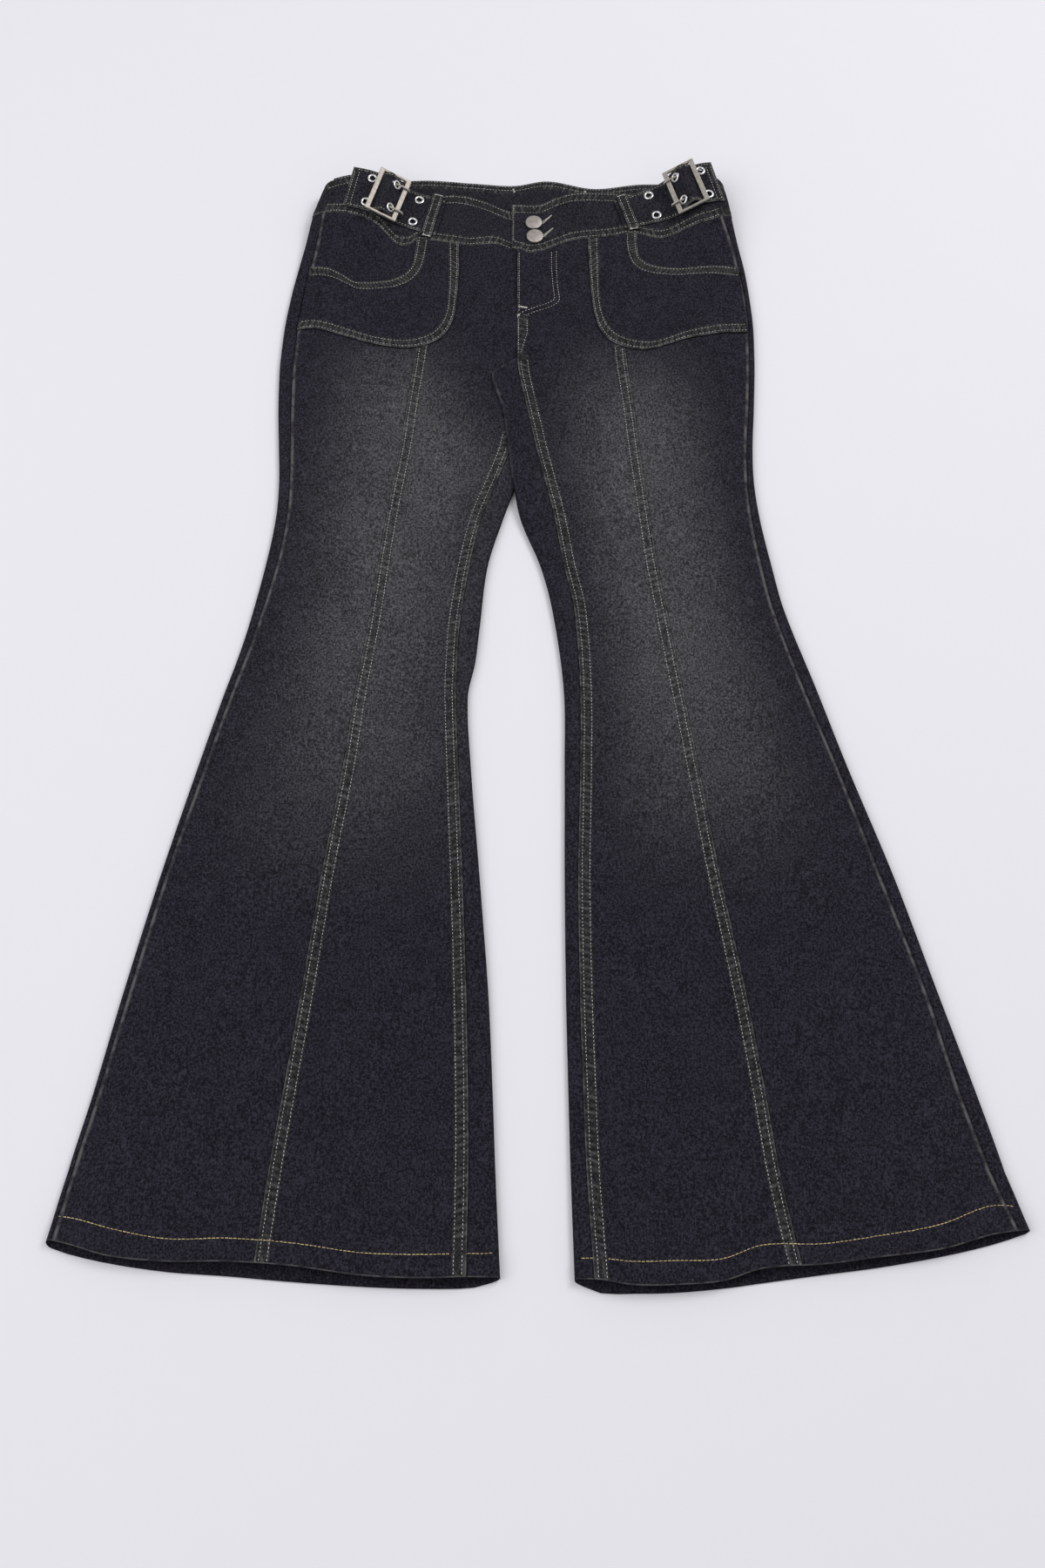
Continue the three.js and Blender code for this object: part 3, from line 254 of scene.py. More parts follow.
# Patch pockets in steps from the waistband to the side seam
POCKETS = {
    "left": Table("step sewn_out sewn_height scoop_out scoop_height", [
        (0, 74, 966, 115, 974), (1, 73.5, 934, 117, 952), (2, 75, 900, 120, 938),
        (3, 78.5, 872, 128, 927), (4, 88, 853, 140, 921), (5, 103, 843, 152, 919),
        (6, 122, 839.5, 164, 918.5), (7, 145, 842, 175, 920), (8, 169, 849, 186, 928),
        (9, 194, 858, 197, 935), (10, 212, 863, 208, 938), (11, 227, 862, 219, 938),
    ]),
    "right": Table("step sewn_out sewn_height scoop_out scoop_height", [
        (0, 52.5, 976, 101, 981), (1, 53.5, 945, 101, 964), (2, 55, 908, 103, 951),
        (3, 58, 878, 109, 943), (4, 64.5, 858, 119, 938.5), (5, 75, 846, 131, 936.5),
        (6, 89, 839.5, 143, 936), (7, 106, 837, 155, 937), (8, 122, 841, 166, 938),
        (9, 146, 850, 177, 938.5), (10, 176, 856, 188, 938.5), (11, 204, 860, 199, 938),
    ]),
}
POCKET_END = 11
POCKET_GAP = 0.45
POCKET_CLOTH = 1.2
POCKET_BAND = 11
BELOW_BAND = 0.9
POCKET_COVERS = 850  # the princess seam's band goes under the pocket here
POCKET_RISE = {True: 0.55, False: 0.65}  # along the opening and along the sewn edge
POCKET_SEED = {True: 2.0, False: 5.0}

# The fly, from its lowest point up: where its sewn edge lies
FLY = Table("height edge", [
    (873, -13.5), (876, -9), (881, 2), (886, 14), (892, 23), (899, 26), (910, 25), (925, 24),
    (940, 23.5), (956.5, 23.5),
])
FLY_BOTTOM = 873
FLY_TOP = 956.5
FLY_EDGE = -16.3
FLY_CLOTH = 1.0

# Straps and what is on them
STRAP_ANGLE = math.radians(16)
STRAP_WIDTH = 46
STRAP_CLOTH = 1.5
STRAP_GAP = 0.4
STRAP_ROW = 2.3  # its stitches, from its edge
# lean: how many degrees their width slants. inner: width at the inner end, as part of the full one
STRAPS = {
    "left": {
        "out": 92, "height": 1000, "length": 95, "bar": 40, "eyelets": (26, 48.7, 73.5),
        "lean": math.radians(12), "inner": 1,
    },
    "right": {
        "out": 84, "height": 1004.5, "length": 101.5, "bar": 54, "eyelets": (35, 62, 87.5),
        "lean": math.radians(15.5), "inner": 0.8,
    },
}
STRAP_LIFT = Table("past lift", [
    (-60, 0.2), (-20, 0.3), (0, 0.8), (6, 5.6), (14, 11), (21, 7), (28, 1.6), (38, 0.8), (60, 0.3),
])
BUCKLE = {"length": 52, "spacing": 28, "bar": 4.8, "rail": 2.5, "thick": 2.4, "clear": 1.5, "soft": 0.5}
EYELET = {"across": 14.2, "outer": 4.9, "hole": 2.7, "barrel": 3.2, "cut": 3.9, "flange": 0.6, "seat": 0.4}
PRONG_RADIUS = 1.0
PRONG_GAP = 0.5
LOOP = {"along": 9, "width": 10, "cloth": 1.6, "reach": 28, "shoulder": 24, "foot": 26.4, "clear": 0.4}
LOOP_ROW = 2.0  # its stitches, from its edge
BUTTON = {"radius": 8.2, "neck": 3, "neck_height": 0.9, "thick": 1.9, "dome": 0.7}
BUTTONS = {"button_upper": (-0.3, 993.6), "button_lower": (0.7, 976.2)}

# Waistband
UNDERLAP = {"left": -20, "right": -22}
UNDERLAP_DIP = 2.1
UNDERLAP_FULL = 26
UNDERLAP_FADE = 22
BAND_LEVEL = 1045
BAND_THICKER = 0.35  # the band is doubled
BAND_FOOT = 0.2  # more of that along its lower seam
BAND_HEAD = 0.15  # and along its upper edge

# Sewing
STITCH_PITCH = 3.0
STITCH_LENGTH = 1.95
STITCH_WIDTH = 0.46
STITCH_HEIGHT = 0.32
STITCH_STEP = 0.4  # how far apart a surface is sampled for its slope
# How much the stitches differ: along the row and in length as parts, across it in millimetres
STITCH_DRIFT = 0.05
STITCH_SPREAD = 0.08
STITCH_SWAY = 0.07
# Rows of stitches, from the edges that they are sewn along
PATCH_ROWS = (2.0, 8.5)
SCOOP_ROWS = (2.2, 9.5)
BAND_SEAM_ROWS = (1.8, 8.3)
BAND_TOP_ROWS = (2.2, 10.2)
BACK_BAND_ROWS = (1.8, 6.5)
FLY_ROWS = (2.0, 6.6)
FLY_ABOVE = 3.5  # how far the fly's rows go on over its top

# Soft folds: x, height, direction in degrees, half length, half width, depth.
# A ridge is positive and a trough negative.
FOLDS = [
    # beside the fly and over it
    (-21, 925, 92, 50, 6, -1.3), (-32, 925, 92, 52, 9, 0.5), (4, 950, -70, 34, 3.5, 0.7),
    (11, 930, -73, 34, 2.6, -0.8), (18, 925, -78, 26, 3, 0.5), (-4, 893, -8, 14, 2.4, 0.5),
    (-2, 908, -62, 22, 3, -0.4),
    # under the waistband, beside the right pocket
    (63, 962, 80, 18, 2.6, -0.8), (70, 950, 75, 16, 2.8, 0.7), (76, 958, 82, 15, 2.4, -0.7),
    (88, 945, 70, 14, 3, 0.5), (97, 955, 85, 12, 2.4, -0.5),
    # from the crotch over both thighs
    (-4, 824, 18, 13, 3.4, 1.0), (-6, 834, 12, 16, 3, -0.6), (-8, 850, -35, 30, 5, 0.6),
    (10, 846, -20, 32, 5, 0.5), (-60, 862, 20, 60, 9, -0.7), (-70, 846, 24, 62, 8, 0.6),
    (-52, 826, 40, 48, 8, -0.6), (55, 846, -22, 52, 8, -0.6), (48, 828, -30, 52, 8, 0.6),
    (60, 806, -42, 50, 9, -0.5),
    # on the flap
    (-10, 759, -65, 19, 2.0, -0.8), (-15, 762, -65, 20, 3.0, 0.4), (-8, 738, -62, 16, 2.0, -0.7),
    (-14, 740, -62, 18, 3.0, 0.4), (-5, 689, -55, 18, 2.2, -0.7), (-11, 690, -55, 18, 3.2, 0.4),
    (-27, 790, -75, 16, 3.5, 0.4), (-24, 715, -70, 24, 5, -0.4),
    # down the right inseam
    (12, 760, 118, 36, 4.5, -0.6), (20, 745, 118, 38, 4.5, 0.6), (28, 725, 116, 34, 5, -0.5),
    (34, 690, 118, 40, 5, -0.5),
    # hips and sides
    (-185, 905, 160, 44, 9, 0.6), (-175, 890, 155, 46, 8, -0.6), (-205, 800, 100, 60, 9, 0.6),
    (165, 905, 20, 40, 9, 0.6), (160, 888, 25, 44, 8, -0.6), (178, 800, 82, 60, 9, 0.6),
    # knees
    (-180, 590, 20, 60, 14, 0.6), (-172, 560, 12, 60, 14, -0.7), (-100, 600, -12, 44, 12, 0.5),
    (-96, 566, -18, 40, 12, -0.5), (160, 590, -18, 50, 14, 0.6), (150, 560, -12, 50, 14, -0.6),
    (74, 600, 10, 40, 12, 0.5), (76, 566, 16, 40, 12, -0.5),
]
# Wide soft unevenness of the cloth as it lies: waves across, waves along, height
SOFT_WAVES = [
    (0.9, 0.35, 0.30), (0.5, -0.8, 0.30), (1.6, 0.6, 0.22), (-1.3, 1.1, 0.22), (2.3, -0.5, 0.16),
    (0.4, 2.1, 0.16), (3.1, 1.4, 0.1), (-2.6, 2.4, 0.1),
]
SOFT_WAVE_LENGTH = 210
SOFT_WAVE_TURN = 1.7  # how far each wave is shifted from the one before
FOLD_DEPTH = 1.3
FOLD_SWAY = 0.06  # how far a fold bends to the side, as part of its length
# The waves fade out towards the folds of the legs and on the doubled waistband
CALM_EDGE = 4
CALM_WIDTH = 26
CALM_BAND = 0.7
CALM_BAND_FROM = 950
CALM_BAND_OVER = 40


def waves(x, y):
    """How far the laid cloth stands off its even form."""
    total = np.zeros(np.broadcast(x, y).shape)
    for number, (across, along, height) in enumerate(SOFT_WAVES):
        turn = 2 * math.pi * (across * x + along * y) / SOFT_WAVE_LENGTH
        total += height * np.sin(turn + SOFT_WAVE_TURN * number)
    for middle_x, middle_y, degrees, length, width, depth in FOLDS:
        angle = math.radians(degrees)
        along = (x - middle_x) * math.cos(angle) + (y - middle_y) * math.sin(angle)
        across = (y - middle_y) * math.cos(angle) - (x - middle_x) * math.sin(angle)
        across += FOLD_SWAY * length * np.sin(along / length * 2.1 + middle_x)
        end = np.clip(1 - (along / length) ** 2, 0, 1) ** 2
        total += FOLD_DEPTH * depth * end * bell(across, 0, width)
    return total


def plain_top(leg, out, height):
    edges = leg.edges
    edge = LAYER.edge(height)
    inside = LAYER.inside(height)
    from_outer = np.maximum(edges.outer(height) - out, 0)
    from_inner = np.maximum(out - edges.inner(height), 0)
    above = np.maximum(height - CROTCH, 0)
    inner_roll = 1 - ease(np.hypot(from_inner, above) / EDGE_ROLL)
    if leg is RIGHT:
        inner_roll = inner_roll * (1 - ease((height - FLAP_FROM + FLAP_BLEND_UP) / FLAP_RUN))
    rolls = 1 - ease(from_outer / EDGE_ROLL) + inner_roll
    leg_top = inside - (inside - edge) * np.minimum(rolls, 1)
    waist = ease((height - WAIST_LIFT_FROM) / (WAIST_LIFT_TO - WAIST_LIFT_FROM))
    tilt = WAIST_TILT * (height - WAIST_LIFT_TO)
    tilt = tilt * (1 - ease((from_outer - WAIST_TILT_FULL) / WAIST_TILT_FADE))
    return mix(leg_top, WAIST_SIDE[leg.name].height(from_outer) + tilt, waist)


def under_flap(out, height):
    return plain_top(LEFT, np.maximum(-out, LEFT.edges.inner(height)), height)


def even_top(leg, out, height):
    """Height of the middle of the top layer before its soft waves."""
    plain = plain_top(leg, out, height)
    if leg is LEFT:
        return plain
    near = 1 - ease((out + LEFT.edges.inner(height)) / FLAP_BLEND_OUT)
    part = ease((height - FLAP_FROM) / FLAP_RUN) * (1 - ease((height - CROTCH) / FLAP_BLEND_UP))
    over = under_flap(out, height) + 2 * FLAP_STACK
    return plain + np.maximum(over - plain, 0) * near * part


def top(leg, out, height):
    """Height of the middle of the top layer with its soft waves, which end before the folds."""
    out = np.asarray(out, float)
    height = np.asarray(height, float)
    calm = ease((leg.edges.outer(height) - out - CALM_EDGE) / CALM_WIDTH)
    from_inner = out - leg.edges.inner(height) + np.maximum(height - CROTCH, 0)
    calm = calm * ease(from_inner / CALM_WIDTH)
    calm = calm * (1 - CALM_BAND * ease((height - CALM_BAND_FROM) / CALM_BAND_OVER))
    return even_top(leg, out, height) + calm * waves(leg.sign * out, height)


def row_height(leg, row, out, face):
    """Real height of a row, which bends to the hem below and to the waistband above."""
    hem = mix(leg.hem.back(out), leg.hem.front(out), face)
    low = mix(hem, HEM_BLEND, (row - HEM_ROW) / (HEM_BLEND - HEM_ROW))
    seam = mix(BACK_SEAM, leg.band.seam(out), face) - SEAM_GAP / 2
    high = mix(WAIST_BLEND, seam, (row - WAIST_BLEND) / (WAIST - WAIST_BLEND))
    return np.where(row < HEM_BLEND, low, np.where(row > WAIST_BLEND, high, row))


def fold_radius(leg, height):
    return (plain_top(leg, leg.edges.outer(height), height) - HALF) / 2


def side_seam(leg, height):
    start = leg.edges.outer(height) - HALF - fold_radius(leg, height)
    return np.minimum(leg.edges.side(height), start - 1)


# Low relief of the sewing, by distance from a free edge

def pucker(run, inset, seed):
    """Uneven cross ridges that the stitches draw up along a seam."""
    drift = 1.3 * np.sin(run / 23 + seed) + 0.9 * np.sin(run / 9.7 + 2 * seed)
    turn = 2 * math.pi * (run + 0.35 * inset + drift) / PUCKER_PITCH
    strength = 0.55 + 0.45 * np.sin(run / 31 + 1.3 * seed)
    return np.sin(turn) * strength


def felled(inset, run, seed, rise=BAND_RISE, width=BAND_WIDTH):
    """Height of a folded and double-stitched band over the cloth beside it."""
    plateau = rounding(inset, BAND_ROUND) * (1 - ease((inset - width) / 1.3))
    dent = bell(inset, ROW_NEAR, DENT_WIDTH) + bell(inset, ROW_FAR, DENT_WIDTH)
    ripple = BAND_PUCKER * pucker(run, inset, seed) * np.sin(math.pi * np.clip(inset / width, 0, 1))
    beside = BESIDE_PUCKER * pucker(run, inset, seed + 1) * np.exp(-np.clip(inset - width, 0, None) / 3.5)
    beside = beside * (inset > width)
    return rise * plateau - DENT * dent * plateau + ripple + beside


def beside_band(distance, run, seed):
    """The cloth that goes down beside a felled band, with small puckers."""
    return 0.16 * pucker(run, distance, seed) * np.exp(-distance / 4) - 0.3 * np.exp(-distance / 1.2)


# Distances of a panel's columns from its edges
BAND_STEPS = [0, 0.25, 0.7, 1.4, 2.3, 3.2, 4.2, 5.6, 7, 8.2, 9.4, 10.3, 11, 11.8, 12.8, 14.4]
SIDE_STEPS = [0, 0.4, 1, 2, 3.4, 5.2, 8]
SIDE_CREST = 2.0  # the highest line of the turned side seam, from its edge


# Meshes

class Sheet:
    """A closed wall of cloth round a grid of middle points, in millimetres."""

    def __init__(
        self, points, wall=CLOTH, rise=0.0, flip=False, keep=None, inset=FAR, ridge=FAR, run=None, fade=0.0,
    ):
        self.points = points
        rows, columns = points.shape[:2]
        self.shape = (rows, columns)
        self.wall = wall
        self.rise = np.broadcast_to(rise, self.shape)
        self.flip = flip
        self.keep = np.ones((rows - 1, columns - 1), bool) if keep is None else keep
        self.inset = np.broadcast_to(inset, self.shape)
        self.ridge = np.broadcast_to(ridge, self.shape)
        self.run = np.broadcast_to(points[..., 1] if run is None else run, self.shape)
        self.fade = np.broadcast_to(fade, self.shape)

    def normals(self):
        p = self.points
        cell = np.cross(p[1:, 1:] - p[:-1, :-1], p[1:, :-1] - p[:-1, 1:])
        if self.flip:
            cell = -cell
        cell = cell / np.maximum(np.linalg.norm(cell, axis=2, keepdims=True), 1e-9)
        cell = cell * self.keep[..., None]
        total = np.zeros(p.shape)
        for i, j in ((0, 0), (0, 1), (1, 0), (1, 1)):
            total[i:self.shape[0] - 1 + i, j:self.shape[1] - 1 + j] += cell
        return total / np.maximum(np.linalg.norm(total, axis=2, keepdims=True), 1e-9)

    def cut(self):
        """Width, length and area of the flat cloth, in metres."""
        p = self.points
        across = np.linalg.norm(np.diff(p, axis=1), axis=2)
        along = np.linalg.norm(np.diff(p, axis=0), axis=2)
        cell = np.cross(p[1:, 1:] - p[:-1, :-1], p[1:, :-1] - p[:-1, 1:])
        area = (np.linalg.norm(cell, axis=2) / 2 * self.keep).sum()
        both = self.keep.any(axis=0)
        width = (across * both).sum(axis=1).max()
        length = along.sum(axis=0).max()
        return width * METRE, length * METRE, area * METRE * METRE

    def build(self, name):
        rows, columns = self.shape
        normal = self.normals()
        outer = self.points + normal * (self.wall / 2 + self.rise)[..., None]
        inner = self.points - normal * (self.wall / 2)
        count = rows * columns
        number = np.arange(count).reshape(rows, columns)
        a, b = number[:-1, :-1], number[:-1, 1:]
        c, d = number[1:, 1:], number[1:, :-1]
        keep = self.keep
        quads = [np.stack([a[keep], b[keep], c[keep], d[keep]], axis=1)]
        quads.append(quads[0][:, ::-1] + count)
        padded = np.zeros((rows + 1, columns + 1), bool)
        padded[1:-1, 1:-1] = keep
        sides = (
            (~padded[:-2, 1:-1], a, b), (~padded[1:-1, 2:], b, c),
            (~padded[2:, 1:-1], c, d), (~padded[1:-1, :-2], d, a),
        )
        for open_side, start, end in sides:
            edge = keep & open_side
            first, last = start[edge], end[edge]
            quads.append(np.stack([last, first, first + count, last + count], axis=1))
        faces = np.concatenate(quads)
        if self.flip:
            faces = faces[:, ::-1]
        points = np.concatenate([outer.reshape(-1, 3), inner.reshape(-1, 3)])
        marks = {
            "inset": np.concatenate([self.inset.ravel(), np.full(count, FAR)]),
            # distance from a ridge or fold edge, where the colour is painted lighter: partly wear, partly
            # painted highlight
            "ridge": np.concatenate([self.ridge.ravel(), np.full(count, FAR)]),
            "fade": np.concatenate([self.fade.ravel(), np.zeros(count)]),
            "run": np.tile(self.run.ravel(), 2),
        }
        return add_object(name, points, faces, marks)


def add_object(name, points, faces, marks=None):
    """A smooth object from points in millimetres and faces with one number of corners."""
    used = np.unique(faces)
    place = np.zeros(len(points), int)
    place[used] = np.arange(len(used))
    faces = place[faces]
    corners = faces.shape[1]
    at = (points[used] - (MIDDLE_X, MIDDLE_Y, 0)) * METRE
    mesh = bpy.data.meshes.new(name)
    mesh.vertices.add(len(at))
    mesh.vertices.foreach_set("co", at.ravel())
    mesh.loops.add(faces.size)
    mesh.loops.foreach_set("vertex_index", faces.ravel().astype(np.int32))
    mesh.polygons.add(len(faces))
    mesh.polygons.foreach_set("loop_start", np.arange(0, faces.size, corners, dtype=np.int32))
    mesh.polygons.foreach_set("use_smooth", np.ones(len(faces), bool))
    for mark, values in (marks or {}).items():
        layer = mesh.attributes.new(mark, "FLOAT", "POINT")
        layer.data.foreach_set("value", np.asarray(values, float)[used])
    mesh.update(calc_edges=True)
    mesh.validate()
    piece = bpy.data.objects.new(name, mesh)
    bpy.context.scene.collection.objects.link(piece)
    return piece


# Fading: how worn the front of a leg is at a place

FADES = {
    "left": Table("height amount centre reach", [
        (260, 0, 0.4, 0.34), (300, 0.12, 0.4, 0.34), (340, 0.28, 0.4, 0.34), (380, 0.55, 0.39, 0.34),
        (420, 0.68, 0.38, 0.34), (500, 0.82, 0.38, 0.34), (600, 0.92, 0.38, 0.34), (700, 0.98, 0.39, 0.34),
        (740, 0.98, 0.45, 0.28), (780, 0.85, 0.49, 0.23), (820, 0.55, 0.52, 0.22), (850, 0.2, 0.52, 0.22),
        (880, 0, 0.52, 0.22),
    ]),
    "right": Table("height amount centre reach", [
        (260, 0, 0.45, 0.28), (300, 0.1, 0.45, 0.28), (340, 0.3, 0.45, 0.28), (380, 0.62, 0.45, 0.28),
        (420, 0.72, 0.45, 0.28), (500, 0.95, 0.45, 0.28), (600, 1.05, 0.45, 0.28), (700, 1, 0.46, 0.28),
        (740, 0.88, 0.47, 0.27), (780, 0.75, 0.48, 0.25), (820, 0.38, 0.48, 0.22), (850, 0.12, 0.48, 0.22),
        (870, 0, 0.48, 0.22),
    ]),
}
FADE_SHARPNESS = 2.6
FADE_FALL = 0.7


def fading(leg, out, height):
    fades = FADES[leg.name]
    inner = leg.edges.front(height)
    width = leg.edges.outer(height) - inner
    part = (out - inner) / width
    away = np.abs(part - fades.centre(height)) / fades.reach(height)
    return np.clip(fades.amount(height), 0, 1) * np.exp(-(away ** FADE_SHARPNESS) * FADE_FALL)


# The panels of the legs

# The rows of a leg from the hem up: where a stretch of them starts and ends, and how many it has
ROW_STRETCHES = [(HEM_ROW, HEM_BLEND, 28), (HEM_BLEND, CROTCH, 269), (CROTCH, WAIST, 69)]
ROWS = np.concatenate([[HEM_ROW]] + [
    np.linspace(low, high, count + 1)[1:] for low, high, count in ROW_STRETCHES
])
CROTCH_AT = int(np.argmin(np.abs(ROWS - CROTCH)))


def hem_relief(leg, out, height):
    """The turned-up hem: how far it stands out, and how far a point is from its fold."""
    stitch = leg.hem.stitch(out)
    inside = ease((stitch + 1 - height) / 1.4)
    from_fold = height - leg.hem.front(out)
    dent = HEM_DENT * bell(height, stitch, DENT_WIDTH)
    ripple = HEM_PUCKER * pucker(leg.sign * out / 2.3, from_fold / 3, HEM_SEED) * ease(from_fold / 6)
    ripple = ripple * np.exp(-np.clip(height - stitch, 0, None) / 5)
    near = ease((stitch + 24 - height) / 12)
    return HEM_RISE * inside - dent + ripple * near, from_fold


def hemmed(leg, out, height, ridge):
    """The hem's relief, a panel's distance from a ridge with the hem's fold, and its run."""
    rise, from_fold = hem_relief(leg, out, height)
    at_hem = height < leg.hem.stitch(out) + 1
    ridge = np.where(at_hem, np.minimum(from_fold, ridge), ridge)
    return rise, ridge, np.where(at_hem, leg.sign * out, height)


def panel(leg, columns):
    """The real heights of a front panel and the points of its middle."""
    height = row_height(leg, np.broadcast_to(ROWS[:, None], columns.shape), columns, 1)
    return height, spots(leg.sign * columns, height, top(leg, columns, height))


def spaced(start, end, near, middle):
    """Columns from start to end, closer together near both, for every row."""
    first = start[:, None] + np.array(near)
    last = end[:, None] - np.array(near)[::-1]
    part = np.linspace(0, 1, middle + 2)[1:-1]
    between = first[:, -1:] + (last[:, :1] - first[:, -1:]) * part
    return np.concatenate([first, between, last], axis=1)


def inseam_band(leg, height):
    """How much of the inseam's band stands out. The flap hides the top of the left one."""
    if leg is LEFT:
        return 1 - ease((height - FLAP_HIDES) / 8)
    return np.ones(np.shape(height))


def centre_stretch(leg, height):
    """Above the crotch the sewn band narrows: how much closer its far edge is."""
    if leg is LEFT:
        return np.ones(np.shape(height))
    above = np.clip(height - CROTCH, 0, CENTRE_TALL)
    wide = mix(CENTRE_NARROW, BAND_WIDTH, above / CENTRE_TALL)
    return mix(1, BAND_WIDTH / wide, ease(above / 3))


def front_inner(leg):
    start = leg.edges.front(ROWS) + SEAM_GAP / 2
    end = leg.edges.princess(ROWS) - SEAM_GAP / 2
    out = spaced(start, end, BAND_STEPS, 26)
    height, points = panel(leg, out)
    from_inseam = (out - start[:, None]) * centre_stretch(leg, height)
    from_princess = end[:, None] - out
    below_pocket = 1 - ease((height - POCKET_COVERS) / 6)
    inseam_on = inseam_band(leg, height)
    rise = felled(from_princess, height, PRINCESS_SEED) * below_pocket
    rise = rise + felled(from_inseam, height, INSEAM_SEED) * inseam_on
    inset = np.minimum(from_princess + FAR * (below_pocket < 0.5), from_inseam + FAR * (inseam_on < 0.5))
    hem_rise, ridge, run = hemmed(leg, out, height, inset)
    fade = fading(leg, out, height)
    return Sheet(
        points, rise=rise + hem_rise, flip=leg is LEFT, inset=inset, ridge=ridge, run=run, fade=fade,
    )


def side_ridge(distance, run, seed):
    """The turned seam along a leg's side: a soft ridge with small puckers."""
    ridge = 0.45 * bell(distance, SIDE_CREST, 1.5)
    ripple = 0.22 * pucker(run, distance, seed) * np.exp(-distance / 5)
    return ridge + ripple - 0.25 * np.exp(-distance / 0.6)


def front_side(leg):
    start = leg.edges.princess(ROWS) + SEAM_GAP / 2
    end = side_seam(leg, ROWS) - SEAM_GAP / 2
    out = spaced(start, end, SIDE_STEPS, 24)
    height, points = panel(leg, out)
    from_side = end[:, None] - out
    rise = beside_band(out - start[:, None], height, PRINCESS_SEED)
    rise = rise + side_ridge(from_side, height, FRONT_EDGE_SEED)
    # The crest of the side seam is marked as a ridge: a lighter line, partly wear and partly painted
    # highlight.
    hem_rise, ridge, run = hemmed(leg, out, height, np.abs(from_side - SIDE_CREST) * 0.5 + 0.3)
    fade = fading(leg, out, height)
    return Sheet(points, rise=rise + hem_rise, flip=leg is LEFT, ridge=ridge, run=run, fade=fade)


# The back panels go round the folds and under the front

STRIP_CELLS = 8
FOLD_CELLS = 12
DROP_CELLS = 8
BOTTOM_CELLS = 26
FOOT = 3
BOTTOM_START = STRIP_CELLS + FOLD_CELLS + DROP_CELLS


def fold_arc(centre, middle, radius, start, end):
    """Out, height of the middle and face along a fold. The face is 1 on the front, 0 on the back."""
    angle = np.linspace(start, end, FOLD_CELLS + 1)
    return spots(centre + radius * np.cos(angle), middle + radius * np.sin(angle), (1 + np.sin(angle)) / 2)


def inner_turn(leg, height):
    inner = leg.edges.inner(height)
    radius = (plain_top(leg, inner, height) - HALF) / 2
    centre = inner + HALF + radius
    arc = fold_arc(centre, HALF + radius, radius, math.pi / 2, 3 * math.pi / 2)
    foot = np.linspace(centre, centre + FOOT, DROP_CELLS + 1)[1:]
    return np.concatenate([arc, spots(foot, HALF, 0)])


def flap_turn(height):
    edge = RIGHT.edges.inner(height)
    radius = FLAP_STACK / 2
    centre = edge + HALF + radius
    middle = under_flap(edge, height) + FLAP_STACK + radius
    arc = fold_arc(centre, middle, radius, math.pi / 2, 3 * math.pi / 2)
    arc[:, 2] = 1
    drop = FLAP_DROP_GAP - LEFT.edges.inner(height)
    end = under_flap(drop, height) + FLAP_STACK
    inward = np.linspace(centre, drop - FLAP_ROUND, DROP_CELLS - 3)[1:-1]
    down = [(out, under_flap(out, height) + FLAP_STACK, 1) for out in inward]
    down += [
        (drop - FLAP_ROUND, end, 1), (drop - 0.4, end - 0.4, 0.8), (drop, end - FLAP_ROUND, 0.6),
        (drop, HALF + FLAP_ROUND, 0.3), (drop + FLAP_ROUND, HALF, 0),
    ]
    return np.concatenate([arc, np.array(down, float)])


def inseam_turn(leg, height):
    plain = inner_turn(leg, height)
    if leg is LEFT or height <= FLAP_FROM:
        return plain
    return mix(plain, flap_turn(height), ease((height - FLAP_FROM) / FLAP_RUN))


def back_row(leg, row):
    """Out, middle and face round a leg. On the front the middle is not a number: it follows the top."""
    radius = fold_radius(leg, row)
    centre = leg.edges.outer(row) - HALF - radius
    outer_arc = fold_arc(centre, HALF + radius, radius, -math.pi / 2, math.pi / 2)
    side = np.linspace(centre, side_seam(leg, row) + SEAM_GAP / 2, STRIP_CELLS + 1)[1:]
    turn = inseam_turn(leg, min(row, CROTCH))
    if row > CROTCH:
        turn[-1, 0] = SEAM_GAP / 2
    strip = np.linspace(leg.edges.front(row) - SEAM_GAP / 2, turn[0, 0], STRIP_CELLS + 1)[:-1]
    bottom = np.linspace(turn[-1, 0], centre, BOTTOM_CELLS + 1)[1:-1]
    return np.concatenate([
        spots(strip, np.nan, 1), turn, spots(bottom, HALF, 0), outer_arc, spots(side, np.nan, 1),
    ])


def flap_slant(leg, row, out, face):
    """The flap's top edge slants down towards its outer corner."""
    if leg is LEFT or row <= FLAP_SLANT_FROM or row > CROTCH:
        return np.zeros(len(out))
    beyond = np.minimum(out - FLAP_CORNER, 0) * (face >= 0.5)
    return beyond * FLAP_SLOPE * (row - FLAP_SLANT_FROM) / (CROTCH - FLAP_SLANT_FROM)


